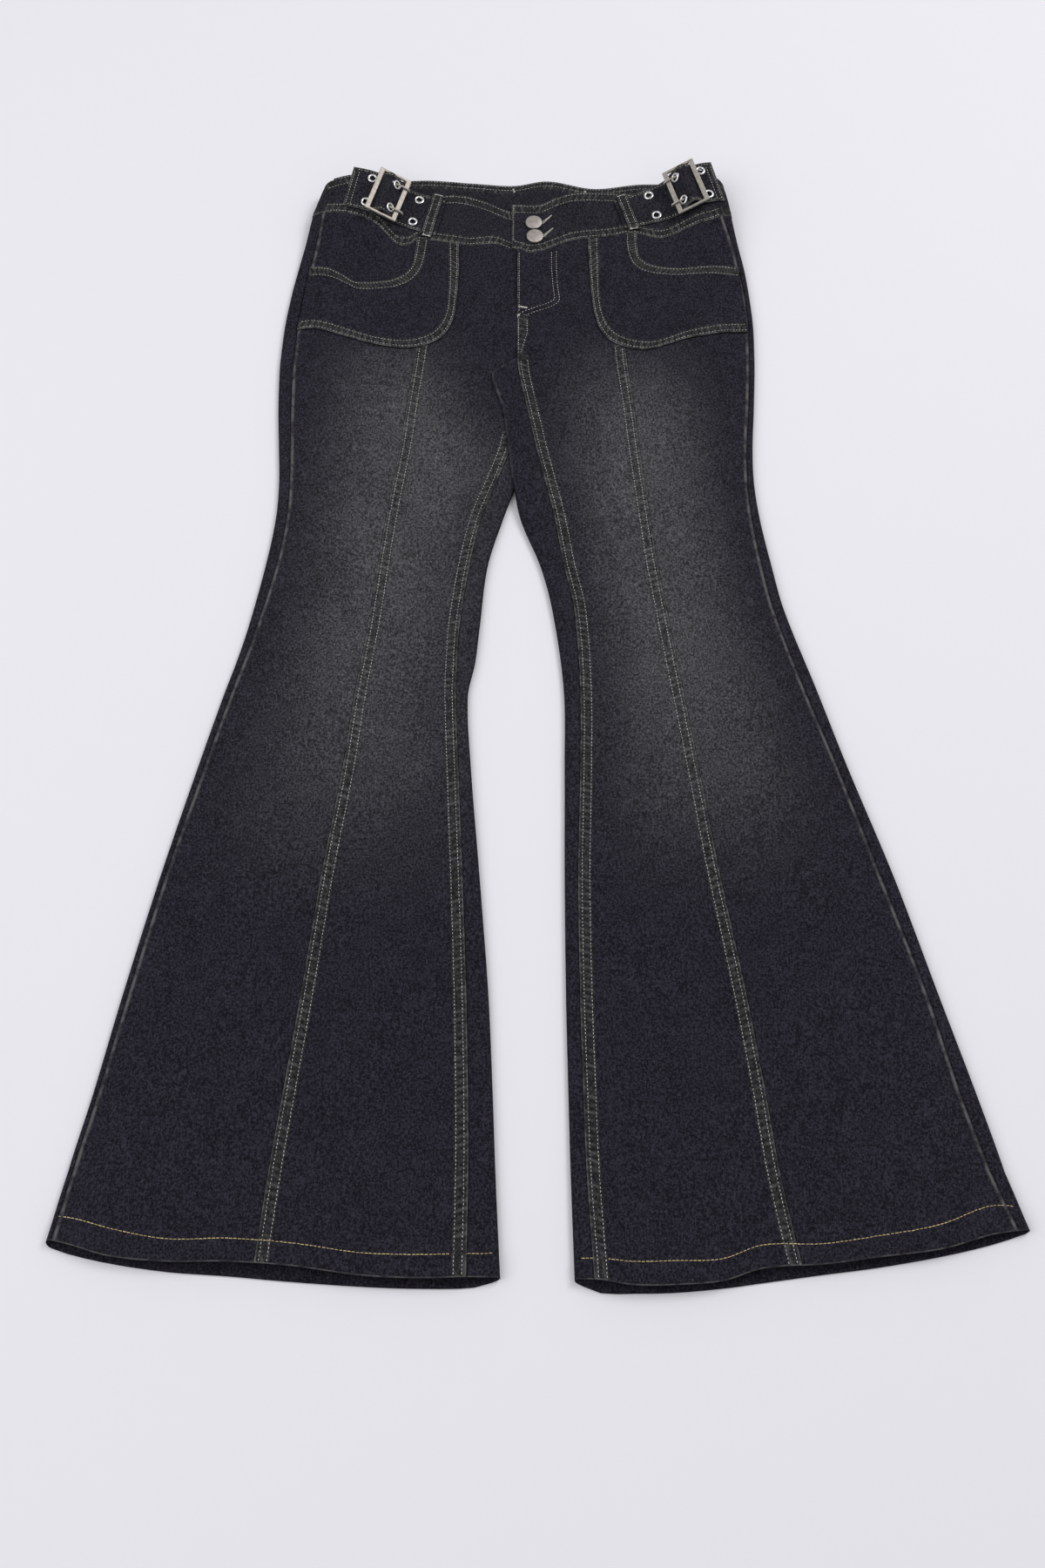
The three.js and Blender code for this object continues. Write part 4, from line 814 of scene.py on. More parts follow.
def back_leg(leg):
    grid = []
    places = []
    for row in ROWS:
        out, middle, face = back_row(leg, row).T
        height = row_height(leg, row, out, face) + flap_slant(leg, row, out, face)
        on_front = np.isnan(middle)
        grid.append(spots(leg.sign * out, height, np.where(on_front, top(leg, out, height), middle)))
        places.append(np.stack([out, height, face, on_front], axis=1))
    points = np.array(grid)
    out, height, face, on_front = np.moveaxis(np.array(places), 2, 0)
    from_seam = np.clip(leg.edges.front(height) - SEAM_GAP / 2 - out, 0, None)
    from_side = np.clip(out - (side_seam(leg, ROWS)[:, None] + SEAM_GAP / 2), 0, None)
    by_inseam = (on_front > 0) & (np.arange(out.shape[1]) < STRIP_CELLS)[None, :]
    by_side = (on_front > 0) & ~by_inseam
    rise = np.where(by_inseam, beside_band(from_seam, height, INSEAM_SEED), 0)
    rise = rise + np.where(by_side, side_ridge(from_side, height, BACK_EDGE_SEED), 0)
    hem_rise, ridge, run = hemmed(leg, out, height, FAR)
    upper = face > 0.9
    rise = rise + np.where(upper, hem_rise, 0)
    # The flap's fold edge is marked as a ridge: a lighter line, partly wear and partly painted highlight.
    if leg is RIGHT:
        from_fold = np.minimum(out - leg.edges.inner(height), np.abs(CROTCH - ROWS)[:, None])
        ridge = np.where(height > FLAP_FULL, 0.7 + 0.3 * np.abs(from_fold), ridge)
    ridge = np.where(upper, ridge, FAR)
    count = np.arange(len(ROWS) - 1)[:, None]
    across = np.arange(out.shape[1] - 1)[None, :]
    keep = (count < CROTCH_AT) | (across >= BOTTOM_START)
    fade = fading(leg, out, height) * upper
    return Sheet(points, rise=rise, flip=leg is RIGHT, keep=keep, ridge=ridge, run=run, fade=fade)


# What lies on the panels

POCKET_LIFT = HALF + POCKET_GAP + POCKET_CLOTH / 2


def pocket_places(leg, step, inset, from_scoop):
    """Places on a patch at distances from its opening, or from its sewn edge."""
    table = POCKETS[leg.name]
    sewn = np.stack([table.sewn_out(step), table.sewn_height(step)], axis=-1)
    scoop = np.stack([table.scoop_out(step), table.scoop_height(step)], axis=-1)
    width = np.linalg.norm(sewn - scoop, axis=-1)
    part = inset / width
    part = np.where(from_scoop, part, 1 - part)
    place = scoop + (sewn - scoop) * part[..., None]
    height = np.minimum(place[..., 1], leg.band.seam(place[..., 0]) - BELOW_BAND)
    out = np.minimum(place[..., 0], side_seam(leg, height) - SEAM_GAP / 2)
    return out, height, width


def pocket_run(leg, step):
    """Distance along the sewn edge."""
    table = POCKETS[leg.name]
    fine = np.linspace(0, POCKET_END, 400)
    gone = np.hypot(np.diff(table.sewn_out(fine)), np.diff(table.sewn_height(fine)))
    return np.interp(step, fine, np.concatenate([[0], np.cumsum(gone)]))


def pocket_relief(inset, run, from_scoop):
    return felled(inset, run, POCKET_SEED[from_scoop], rise=POCKET_RISE[from_scoop], width=POCKET_BAND)


def pocket(leg):
    step = np.linspace(0, POCKET_END, 150)[:, None]
    near = np.array(BAND_STEPS)
    _, _, width = pocket_places(leg, step, np.zeros(1), True)
    far = width - 2 * near[-1]
    middle = near[-1] + far * np.linspace(0, 1, 14)[1:-1]
    from_scoop = np.concatenate([near + 0 * width, middle, width - near[::-1]], axis=1)
    out, height, _ = pocket_places(leg, step, from_scoop, True)
    from_sewn = width - from_scoop
    run = pocket_run(leg, step)
    rise = pocket_relief(from_scoop, run, True) + pocket_relief(from_sewn, run, False)
    points = spots(leg.sign * out, height, top(leg, out, height) + POCKET_LIFT)
    inset = np.minimum(from_scoop, from_sewn)
    return Sheet(points, wall=POCKET_CLOTH, rise=rise, flip=leg is LEFT, inset=inset, ridge=inset, run=run)


FLY_LIFT = HALF + LAYER_GAP + FLY_CLOTH / 2
FLY_SINK = 1.35  # the fly's sewn edge goes down into the panel, so it only shows as stitching
FLY_BULGE = 1.5  # its folded edge stands up above this height
FLY_BULGE_FROM = 884


def fly_lift(out, height):
    from_edge = FLY.edge(height) - out
    from_bottom = (height - FLY_BOTTOM) * 0.8
    sink = 1 - ease(np.minimum(from_edge, from_bottom) / 9)
    return FLY_LIFT - FLY_SINK * sink


def fly_relief(out, height):
    from_fold = out - FLY_EDGE
    edge = 0.35 * (rounding(from_fold, 1.2) - 1)
    edge = edge + FLY_BULGE * bell(from_fold, 0, 6) * ease((height - FLY_BULGE_FROM) / 12)
    dent = 0.2 * bell(from_fold, 2.4, 0.8)
    return edge - dent + 0.12 * pucker(height * 0.8, 0, FLY_SEED) * ease(1 - from_fold / 14)


def fly():
    part = np.linspace(0, 1, 60)[:, None]
    across = np.concatenate([np.array([0, 0.03, 0.07, 0.12]), np.linspace(0.18, 1, 26)])[None, :]
    height = mix(FLY_BOTTOM, FLY_TOP + 8, part) + 0 * across
    out = mix(FLY_EDGE, FLY.edge(np.minimum(height, FLY_TOP)), across)
    height = np.minimum(height, mix(FLY_BOTTOM, RIGHT.band.seam(out) - BELOW_BAND, part))
    points = spots(out, height, top(RIGHT, out, height) + fly_lift(out, height))
    # The fly's folded edge is marked as a ridge, which is painted lighter: partly wear, partly painted
    # highlight.
    return Sheet(points, wall=FLY_CLOTH, rise=fly_relief(out, height), ridge=out - FLY_EDGE)


# Waistband

def band_edge(leg, out, part):
    """Real height on the front of the waistband."""
    return mix(leg.band.seam(out) + SEAM_GAP / 2, leg.band.top(out), part)


def band_surface(leg, out, part):
    """Middle of the front of the waistband."""
    height = band_edge(leg, out, part)
    middle = top(leg, out, height)
    if leg is LEFT:
        middle = middle - UNDERLAP_DIP * (1 - ease((out - UNDERLAP_FULL) / UNDERLAP_FADE))
    return height, middle


def band_rise(run, from_seam, from_top, seed):
    """Relief of the doubled band with its sewn edges."""
    low = felled(from_seam, run, seed, rise=BAND_FOOT, width=10.2)
    high = felled(from_top, run, seed + 2, rise=BAND_HEAD, width=9.8)
    return low + high + BAND_THICKER * rounding(np.minimum(from_seam, from_top), 1.2)


BAND_PARTS = np.array([
    0, 0.006, 0.015, 0.03, 0.055, 0.085, 0.12, 0.145, 0.17, 0.19, 0.24, 0.32, 0.4, 0.48, 0.56, 0.64,
    0.72, 0.79, 0.83, 0.86, 0.89, 0.92, 0.945, 0.965, 0.98, 0.99, 1,
])
BAND_COLUMNS = 92
BAND_FLAT_CELLS = 5


def waistband_front(leg):
    grid = []
    outs = []
    for part in BAND_PARTS:
        level = mix(WAIST, BAND_LEVEL, part)
        radius = fold_radius(leg, level)
        centre = leg.edges.outer(level) - HALF - radius
        out = np.linspace(UNDERLAP[leg.name], centre - 0.5, BAND_COLUMNS)
        height, middle = band_surface(leg, out, part)
        front = spots(out, height, middle)
        arc = fold_arc(centre, HALF + radius, radius, math.pi / 2, -math.pi / 2)
        seam = mix(BACK_SEAM, leg.band.seam(arc[:, 0]), arc[:, 2]) + SEAM_GAP / 2
        turn = spots(arc[:, 0], mix(seam, leg.band.top(arc[:, 0]), part), arc[:, 1])
        flat_out = np.linspace(centre, BACK_JOINT[leg.name] + SEAM_GAP / 2, BAND_FLAT_CELLS + 1)[1:]
        flat_height = mix(BACK_SEAM + SEAM_GAP / 2, leg.band.top(flat_out), part)
        flat = spots(flat_out, flat_height, HALF)
        grid.append(np.concatenate([front, turn, flat]))
        outs.append(grid[-1][:, 0])
    points = np.array(grid)
    out = np.array(outs)
    tall = points[-1, :, 1] - points[0, :, 1]
    from_seam = BAND_PARTS[:, None] * tall
    from_top = (1 - BAND_PARTS[:, None]) * tall
    run = np.abs(out)
    rise = band_rise(run, from_seam, from_top, BAND_SEED[leg.name])
    rise[:, -BAND_FLAT_CELLS - FOLD_CELLS // 2:] = 0
    inset = np.minimum(from_seam, from_top)
    ridge = inset
    if leg is RIGHT:
        from_end = out - UNDERLAP["right"]
        rise = rise * rounding(from_end, 1.2)
        ridge = np.minimum(inset, from_end)
    points[..., 0] *= leg.sign
    return Sheet(points, rise=rise, flip=leg is LEFT, inset=inset, ridge=ridge, run=run)


def waistband_back():
    x = np.linspace(-BACK_JOINT["left"] + SEAM_GAP / 2, BACK_JOINT["right"] - SEAM_GAP / 2, 130)
    part = BAND_PARTS[:, None]
    height = mix(BACK_SEAM + SEAM_GAP / 2, BACK_BAND.top(x), part)
    from_seam = height - BACK_SEAM
    from_top = BACK_BAND.top(x) - height
    rise = band_rise(x, from_seam, from_top, BAND_SEED["back"])
    inset = np.minimum(from_seam, from_top)
    return Sheet(spots(x, height, HALF), rise=rise, inset=inset, ridge=inset, run=x)


# Straps and belt loops

def strap_place(leg, along, across):
    strap = STRAPS[leg.name]
    slanted = across * mix(strap["inner"], 1, np.minimum(along / strap["eyelets"][1], 1))
    out = strap["out"] + along * math.cos(STRAP_ANGLE) - slanted * math.sin(strap["lean"])
    return out, strap["height"] + along * math.sin(STRAP_ANGLE) + slanted * math.cos(strap["lean"])


def strap_point(leg, along, across, lift=0.0):
    along = np.asarray(along, float)
    across = np.asarray(across, float)
    out, height = strap_place(leg, along, across)
    base = top(leg, out, height) + HALF + STRAP_GAP + STRAP_CLOTH / 2
    z = base + STRAP_LIFT.lift(along - STRAPS[leg.name]["bar"]) + lift
    return spots(leg.sign * out, height, z)


def strap_relief(leg, along, across):
    length = STRAPS[leg.name]["length"]
    from_edge = np.minimum(STRAP_WIDTH / 2 - np.abs(across), length - along)
    relief = 0.4 * (rounding(from_edge, BAND_ROUND) - 1) - 0.22 * bell(from_edge, STRAP_ROW, 0.8)
    relief = relief + 0.1 * pucker(along, from_edge, STRAP_SEED) * np.exp(-from_edge / 6)
    return relief, from_edge


def strap(leg):
    length = STRAPS[leg.name]["length"]
    half = STRAP_WIDTH / 2
    edge = np.array(BAND_STEPS[:6])
    side = np.concatenate([edge - half, np.linspace(4.2 - half, half - 4.2, 30), half - edge[::-1]])
    along = np.concatenate([np.linspace(0, length - 3.8, 88), length - edge[::-1]])[:, None]
    across = side[None, :]
    points = strap_point(leg, along, across)
    rise, from_edge = strap_relief(leg, along, across)
    centre_along = (along[1:] + along[:-1]) / 2
    centre_across = (across[:, 1:] + across[:, :-1]) / 2
    keep = np.ones((len(along) - 1, side.size - 1), bool)
    for spot in eyelet_spots(leg):
        keep &= np.hypot(centre_along - spot[0], centre_across - spot[1]) > EYELET["cut"] - 0.2
    return Sheet(
        points, wall=STRAP_CLOTH, rise=rise, flip=leg is RIGHT, keep=keep, inset=from_edge + 6,
        ridge=from_edge, run=along,
    )


def loop_surface(leg, across, along):
    """Middle of the belt loop, which steps over the strap down to the band."""
    lift = STRAP_CLOTH / 2 + LAYER_GAP + LOOP["cloth"] / 2
    point = strap_point(leg, along, across)
    on_cloth = top(leg, leg.sign * point[..., 0], point[..., 1]) + HALF + LAYER_GAP + BAND_THICKER
    on_cloth = on_cloth + LOOP["cloth"] / 2 + LOOP["clear"]
    down = ease((np.abs(across) - LOOP["shoulder"]) / (LOOP["foot"] - LOOP["shoulder"]))
    point[..., 2] = mix(point[..., 2] + lift, on_cloth, down)
    return point


def belt_loop(leg):
    across = np.linspace(-LOOP["reach"], LOOP["reach"], 60)[:, None]
    half = LOOP["width"] / 2
    edge = np.array([0, 0.3, 0.8, 1.5, 2.3, 3.4])
    side = np.concatenate([edge, 2 * half - edge[::-1]])[None, :]
    along = LOOP["along"] - half + side
    from_edge = np.minimum(side, 2 * half - side)
    points = loop_surface(leg, across, along)
    rise = 0.4 * (rounding(from_edge, BAND_ROUND) - 1) - 0.2 * bell(from_edge, LOOP_ROW, 0.7)
    return Sheet(
        points, wall=LOOP["cloth"], rise=rise, flip=leg is LEFT, inset=from_edge + 4, ridge=from_edge,
        run=across,
    )


# Metal

def frame_of(normal, near):
    """Three directions with the last along a normal and the first close to another direction."""
    up = normal / np.linalg.norm(normal)
    first = near - up * np.dot(near, up)
    first = first / np.linalg.norm(first)
    return np.stack([first, np.cross(up, first), up])


def strap_frame(leg, along, across):
    step = 1.0
    one = strap_point(leg, along + step, across) - strap_point(leg, along - step, across)
    two = strap_point(leg, along, across + step) - strap_point(leg, along, across - step)
    return frame_of(np.cross(one, two) * leg.sign, one)


def lathe(name, profile, sides, place, directions):
    """A ring or disc turned round its own axis from a section of radius and height."""
    profile = np.array(profile, float)
    count = len(profile)
    angle = np.arange(sides) * 2 * math.pi / sides
    ring = np.stack([np.cos(angle), np.sin(angle)], axis=1)
    local = np.concatenate([
        profile[None, :, :1] * ring[:, None, :], np.broadcast_to(profile[None, :, 1:], (sides, count, 1)),
    ], axis=2)
    points = local.reshape(-1, 3) @ directions + place
    here = np.arange(sides)[:, None] * count
    following = (np.arange(sides)[:, None] + 1) % sides * count
    step = np.arange(count - 1)[None, :]
    faces = np.stack([here + step, following + step, following + step + 1, here + step + 1], axis=2)
    piece = add_object(name, points, faces.reshape(-1, 4))
    weld(piece.data)
    return piece


def weld(mesh):
    """Joins the points of a turned form that lie on its axis."""
    form = bmesh.new()
    form.from_mesh(mesh)
    bmesh.ops.remove_doubles(form, verts=form.verts, dist=1e-6)
    bmesh.ops.recalc_face_normals(form, faces=form.faces)
    form.to_mesh(mesh)
    form.free()


def rounded(start, end, radius, centre):
    """Points of a small arc in a section, between two angles in degrees."""
    angle = np.radians(np.linspace(start, end, 5))
    return [(centre[0] + radius * math.cos(a), centre[1] + radius * math.sin(a)) for a in angle]


def eyelet_spots(leg):
    return [
        (along, side * EYELET["across"]) for along in STRAPS[leg.name]["eyelets"] for side in (-1, 1)
    ]


def eyelet_profile():
    under = -STRAP_CLOTH / 2
    seat = STRAP_CLOTH / 2 + EYELET["seat"] - 0.35
    crown = (EYELET["outer"] + EYELET["hole"]) / 2
    half = (EYELET["outer"] - EYELET["hole"]) / 2
    arch = [
        (crown + half * math.cos(a), seat + (EYELET["flange"] + 0.3) * math.sin(a))
        for a in np.linspace(0, math.pi, 9)
    ]
    return [(EYELET["hole"], under), (EYELET["barrel"], under), (EYELET["barrel"], seat)] + arch + [
        (EYELET["hole"], under)
    ]


def eyelet(leg, number, along, across):
    directions = strap_frame(leg, along, across)
    place = strap_point(leg, along, across)
    return lathe(f"eyelet_ring_{leg.name}_{number}", eyelet_profile(), 32, place, directions)


def bar_plane(leg):
    """The plane of a buckle, which rests on the strap under both bars."""
    bar = STRAPS[leg.name]["bar"]
    reach = STRAP_WIDTH / 2 - 1
    far = bar + BUCKLE["spacing"]

    def level(along, across):
        return strap_point(leg, along, across)[..., 2]

    inner = (level(bar, -reach) + level(bar, reach)) / 2
    outer = (level(far, -reach) + level(far, reach)) / 2
    along_slope = (outer - inner) / BUCKLE["spacing"]
    rise = (level(bar, reach) - level(bar, -reach) + level(far, reach) - level(far, -reach)) / 2
    across_slope = rise / (2 * reach)
    middle = bar + BUCKLE["spacing"] / 2

    def flat(along, across):
        return (inner + outer) / 2 + along_slope * (along - middle) + across_slope * across

    half = BUCKLE["bar"] / 2
    places = np.array([bar - half, bar, bar + half, far - half, far, far + half])[:, None]
    sides = np.linspace(-reach, reach, 9)[None, :]
    short = np.max(level(places + 0 * sides, sides + 0 * places) - flat(places, sides))
    base = max(short, 0) + STRAP_CLOTH / 2 + BUCKLE["clear"] + BUCKLE["thick"] / 2

    def plane(along, across):
        out, height = strap_place(leg, along, across)
        return np.array([leg.sign * out, height, flat(along, across) + base])

    return plane


def buckle(leg):
    """A flat frame of two wide bars and two narrow rails with softened edges."""
    middle = STRAPS[leg.name]["bar"] + BUCKLE["spacing"] / 2
    plane = bar_plane(leg)
    centre = plane(middle, 0)
    along = plane(middle + 10, 0) - centre
    across = plane(middle, 10) - centre
    directions = frame_of(np.cross(along, across) * leg.sign, along)
    outer = np.array([(BUCKLE["spacing"] + BUCKLE["bar"]) / 2, BUCKLE["length"] / 2])
    window = outer - (BUCKLE["bar"], BUCKLE["rail"])
    corner = np.array([(-1, -1), (1, -1), (1, 1), (-1, 1)])
    half = BUCKLE["thick"] / 2
    rings = [(outer, -half), (outer, half), (window, half), (window, -half)]
    local = np.array([(*(size * c), z) for size, z in rings for c in corner])
    faces = []
    for ring in range(4):
        for side in range(4):
            a, b = ring * 4 + side, ring * 4 + (side + 1) % 4
            c, d = (ring * 4 + 4) % 16 + (side + 1) % 4, (ring * 4 + 4) % 16 + side
            faces.append((a, b, c, d))
    piece = add_object(f"buckle_frame_{leg.name}", local @ directions + centre, np.array(faces))
    weld(piece.data)
    bevel = piece.modifiers.new("softened edges", "BEVEL")
    bevel.width = BUCKLE["soft"] * METRE
    bevel.segments = 3
    for face in piece.data.polygons:
        face.use_smooth = False
    return piece


def tube(name, path, radius):
    """A round wire along a smooth line through a few points."""
    sides = 12
    path = np.array(path, float)
    gone = np.concatenate([[0], np.cumsum(np.linalg.norm(np.diff(path, axis=0), axis=1))])
    at = np.linspace(0, gone[-1], 36)
    centre = np.stack([Curve(gone, path[:, i])(at) for i in range(3)], axis=1)
    tangent = np.gradient(centre, axis=0)
    tangent = tangent / np.linalg.norm(tangent, axis=1, keepdims=True)
    side = np.cross(tangent, (0.2, 1, 0.1))
    side = side / np.linalg.norm(side, axis=1, keepdims=True)
    other = np.cross(tangent, side)
    angle = np.arange(sides) * 2 * math.pi / sides
    taper = np.clip(np.minimum(at, gone[-1] - at) / 0.6, 0, 1) ** 0.5
    ring = side[:, None] * np.cos(angle)[None, :, None] + other[:, None] * np.sin(angle)[None, :, None]
    points = centre[:, None] + ring * (radius * taper)[:, None, None]
    here = np.arange(len(at) - 1)[:, None] * sides
    one = np.arange(sides)[None, :]
    following = (one + 1) % sides
    faces = np.stack([here + one, here + following, here + following + sides, here + one + sides], axis=2)
    piece = add_object(name, points.reshape(-1, 3), faces.reshape(-1, 4))
    weld(piece.data)
    return piece


def prong(leg, number, side):
    """A wire hook over the inner bar that goes down through the eyelet beside it."""
    bar = STRAPS[leg.name]["bar"]
    hole = STRAPS[leg.name]["eyelets"][1]
    across = side * EYELET["across"]
    plane = bar_plane(leg)
    clear = BUCKLE["thick"] / 2 + LAYER_GAP + PRONG_RADIUS
    beside = BUCKLE["bar"] / 2 + PRONG_GAP + PRONG_RADIUS
    through = strap_point(leg, hole, across)

    def above(along, z):
        return plane(along, across) + (0, 0, z)

    path = [
        above(bar - beside, -0.6), above(bar - beside + 0.4, clear * 0.7), above(bar, clear + 0.3),
        above(bar + beside, clear + 0.3), above(hole - 1.2, clear - 0.2), through + (0, 0, 1.4),
        through + (leg.sign * 0.6, 0, -1.6),
    ]
    return tube(f"prong_wire_{leg.name}_{number}", path, PRONG_RADIUS)


def button(name, across, height):
    radius, neck, low = BUTTON["radius"], BUTTON["neck"], BUTTON["neck_height"]
    rim = low + BUTTON["thick"]
    profile = [(0, 0), (neck, 0), (neck, low), (radius - 0.5, low)]
    profile += rounded(-90, 0, 0.5, (radius - 0.5, low + 0.5))
    profile += rounded(0, 80, 0.7, (radius - 0.7, rim - 0.7))
    for part in (0.85, 0.65, 0.4, 0.2):
        profile.append((part * radius, rim + BUTTON["dome"] * (1 - part ** 2) - 0.02))
    profile.append((0, rim + BUTTON["dome"]))
    step = 2.0
    slope_x = (top(RIGHT, across + step, height) - top(RIGHT, across - step, height)) / (2 * step)
    slope_y = (top(RIGHT, across, height + step) - top(RIGHT, across, height - step)) / (2 * step)
    directions = frame_of(np.array([-slope_x, -slope_y, 1.0]), np.array([1.0, 0, 0]))
    level = top(RIGHT, across, height) + HALF + BAND_THICKER + 0.05
    return lathe(f"{name}_cap", profile, 48, np.array([across, height, level]), directions)


# Stitches

class Threads:
    """Many stitches that are joined into one mesh."""

    # A stitch has four rings of four points. A ring: place along the stitch, size and lift.
    RINGS = [(-0.5, 0.3, -0.5), (-0.3, 1, 0.35), (0.3, 1, 0.35), (0.5, 0.3, -0.5)]
    # A point of a ring: place across the stitch and lift
    SECTION = np.array([(-0.5, 0), (0, 1), (0.5, 0), (0, -0.7)])
    POINTS = 16

    def __init__(self, seed):
        self.random = np.random.default_rng(seed)
        self.points = []
        self.faces = []
        self.count = 0

    def stitches(self, centre, along, normal, length, width, height):
        """One stitch at each centre, arched out of the cloth."""
        side = np.cross(normal, along)
        total = len(centre)
        rings = []
        for part, size, up in self.RINGS:
            for across, lift in self.SECTION:
                place = centre + along * (part * length)[:, None] + side * (across * size * width)
                rings.append(place + normal * ((lift * size * 0.5 + up) * height))
        block = np.stack(rings, axis=1)
        self.points.append(block.reshape(-1, 3))
        base = self.count + np.arange(total)[:, None] * self.POINTS
        for ring in range(3):
            for corner in range(4):
                a, b = ring * 4 + corner, ring * 4 + (corner + 1) % 4
                self.faces.append(base + np.array([[a, b, b + 4, a + 4]]))
        self.faces.append(base + np.array([[3, 2, 1, 0]]))
        self.faces.append(base + np.array([[12, 13, 14, 15]]))
        self.count += total * self.POINTS

    def row(
        self, surface, a, b, pitch=STITCH_PITCH, length=STITCH_LENGTH, width=STITCH_WIDTH,
        height=STITCH_HEIGHT, crosswise=False, step=STITCH_STEP,
    ):
        """Stitches along a path in a surface's own two directions."""
        a = np.asarray(a, float) + 0 * np.asarray(b, float)
        b = np.asarray(b, float) + 0 * a
        line = surface(a, b)
        gone = np.concatenate([[0], np.cumsum(np.linalg.norm(np.diff(line, axis=0), axis=1))])
        total = int(gone[-1] / pitch)
        if total < 1:
            return
        at = (np.arange(total) + 0.5) * pitch
        at = at + self.random.uniform(-STITCH_DRIFT, STITCH_DRIFT, total) * pitch
        middle_a, middle_b = np.interp(at, gone, a), np.interp(at, gone, b)
        centre = surface(middle_a, middle_b)
        one = surface(middle_a + step, middle_b) - surface(middle_a - step, middle_b)
        two = surface(middle_a, middle_b + STITCH_STEP) - surface(middle_a, middle_b - STITCH_STEP)
        normal = np.cross(one, two)
        normal = normal * np.sign(normal[:, 2:])
        normal = normal / np.linalg.norm(normal, axis=1, keepdims=True)
        before = surface(np.interp(at - 0.6, gone, a), np.interp(at - 0.6, gone, b))
        after = surface(np.interp(at + 0.6, gone, a), np.interp(at + 0.6, gone, b))
        along = after - before
        along = along - normal * (along * normal).sum(axis=1, keepdims=True)
        along = along / np.maximum(np.linalg.norm(along, axis=1, keepdims=True), 1e-9)
        if crosswise:
            along = np.cross(normal, along)
        centre = centre + np.cross(normal, along) * self.random.normal(0, STITCH_SWAY, total)[:, None]
        size = length * (1 + self.random.uniform(-STITCH_SPREAD, STITCH_SPREAD, total))
        self.stitches(centre, along, normal, size, width, height)

    def build(self, name):
        return add_object(name, np.concatenate(self.points), np.concatenate(self.faces))


# Paint

class Wire:
    """An output in a material's nodes that can be used in sums."""

    def __init__(self, paint, socket):
        self.paint = paint
        self.socket = socket

    def __add__(self, other):
        return self.paint.math("ADD", self, other)

    def __radd__(self, other):
        return self.paint.math("ADD", other, self)

    def __sub__(self, other):
        return self.paint.math("SUBTRACT", self, other)

    def __rsub__(self, other):
        return self.paint.math("SUBTRACT", other, self)

    def __mul__(self, other):
        return self.paint.math("MULTIPLY", self, other)

    def __rmul__(self, other):
        return self.paint.math("MULTIPLY", other, self)

    def __truediv__(self, other):
        return self.paint.math("DIVIDE", self, other)

    def __rtruediv__(self, other):
        return self.paint.math("DIVIDE", other, self)


class Paint:
    """One material and its nodes."""

    def __init__(self, name):
        self.material = bpy.data.materials.new(name)
        self.material.use_nodes = True
        self.nodes = self.material.node_tree.nodes
        self.links = self.material.node_tree.links
        self.nodes.clear()
        self.place = self.node("ShaderNodeTexCoord", {}, {}, "Object")

    def node(self, kind, settings, values, output=0):
        """A node: its settings first, then the values or links of its sockets."""
        node = self.nodes.new(kind)
        for key, value in settings.items():
            setattr(node, key, value)
        for key, value in values.items():
            if isinstance(value, Wire):
                self.links.new(value.socket, node.inputs[key])
            else:
                node.inputs[key].default_value = value
        return Wire(self, node.outputs[output])

    def math(self, operation, *values):
        return self.node("ShaderNodeMath", {"operation": operation}, dict(enumerate(values)))

    def clamp(self, value):
        return self.node("ShaderNodeClamp", {}, {"Value": value})

    def step(self, value, start, end, low=0.0, high=1.0):
        """A soft step from low to high while the value goes from start to end."""
        return self.node("ShaderNodeMapRange", {"interpolation_type": "SMOOTHSTEP"}, {
            "Value": value, "From Min": start, "From Max": end, "To Min": low, "To Max": high,
        })

    def attribute(self, name):
        return self.node("ShaderNodeAttribute", {"attribute_name": name}, {}, "Fac")

    def stretched(self, scale):
        return self.node("ShaderNodeVectorMath", {"operation": "MULTIPLY"}, {0: self.place, 1: scale})

    def noise(self, scale, detail, rough, vector=None):
        return self.node("ShaderNodeTexNoise", {}, {
            "Vector": vector or self.place, "Scale": scale, "Detail": detail, "Roughness": rough,
        })

    def blend(self, factor, a, b):
        return self.node("ShaderNodeMix", {"data_type": "RGBA"}, {0: factor, 6: a, 7: b}, 2)

    def shade(self, colour, factor):
        """A colour made lighter or darker by a number."""
        return self.node("ShaderNodeVectorMath", {"operation": "SCALE"}, {0: colour, "Scale": factor})

    def bump(self, height, distance, strength):
        values = {"Height": height, "Distance": distance, "Strength": strength}
        return self.node("ShaderNodeBump", {}, values, "Normal")

    def finish(self, values):
        shader = self.node("ShaderNodeBsdfPrincipled", {}, values)
        output = self.nodes.new("ShaderNodeOutputMaterial")
        self.links.new(shader.socket, output.inputs["Surface"])
        return self.material


def colour(red, green, blue):
    """A colour from its usual 0 to 255 values."""
    def linear(value):
        value = value / 255
        return value / 12.92 if value < 0.04045 else ((value + 0.055) / 1.055) ** 2.4
    return (linear(red), linear(green), linear(blue), 1)


# Colour of the lighter lines along ridges and fold edges: partly wear, partly painted highlight.
WORN_EDGE_AND_HIGHLIGHT = colour(108, 107, 106)
WARP_GRAIN = (900, 300, 900)  # the yarns' directions, as how often the grain repeats in a metre
WEFT_GRAIN = (420, 1500, 420)
TWILL = (6400.0, 4200.0, 0.0)
# The cloth's flecks: the darkest as part of the colour, and from there to the brightest
FLECK_LOW = 0.42
FLECK_RANGE = 1.8


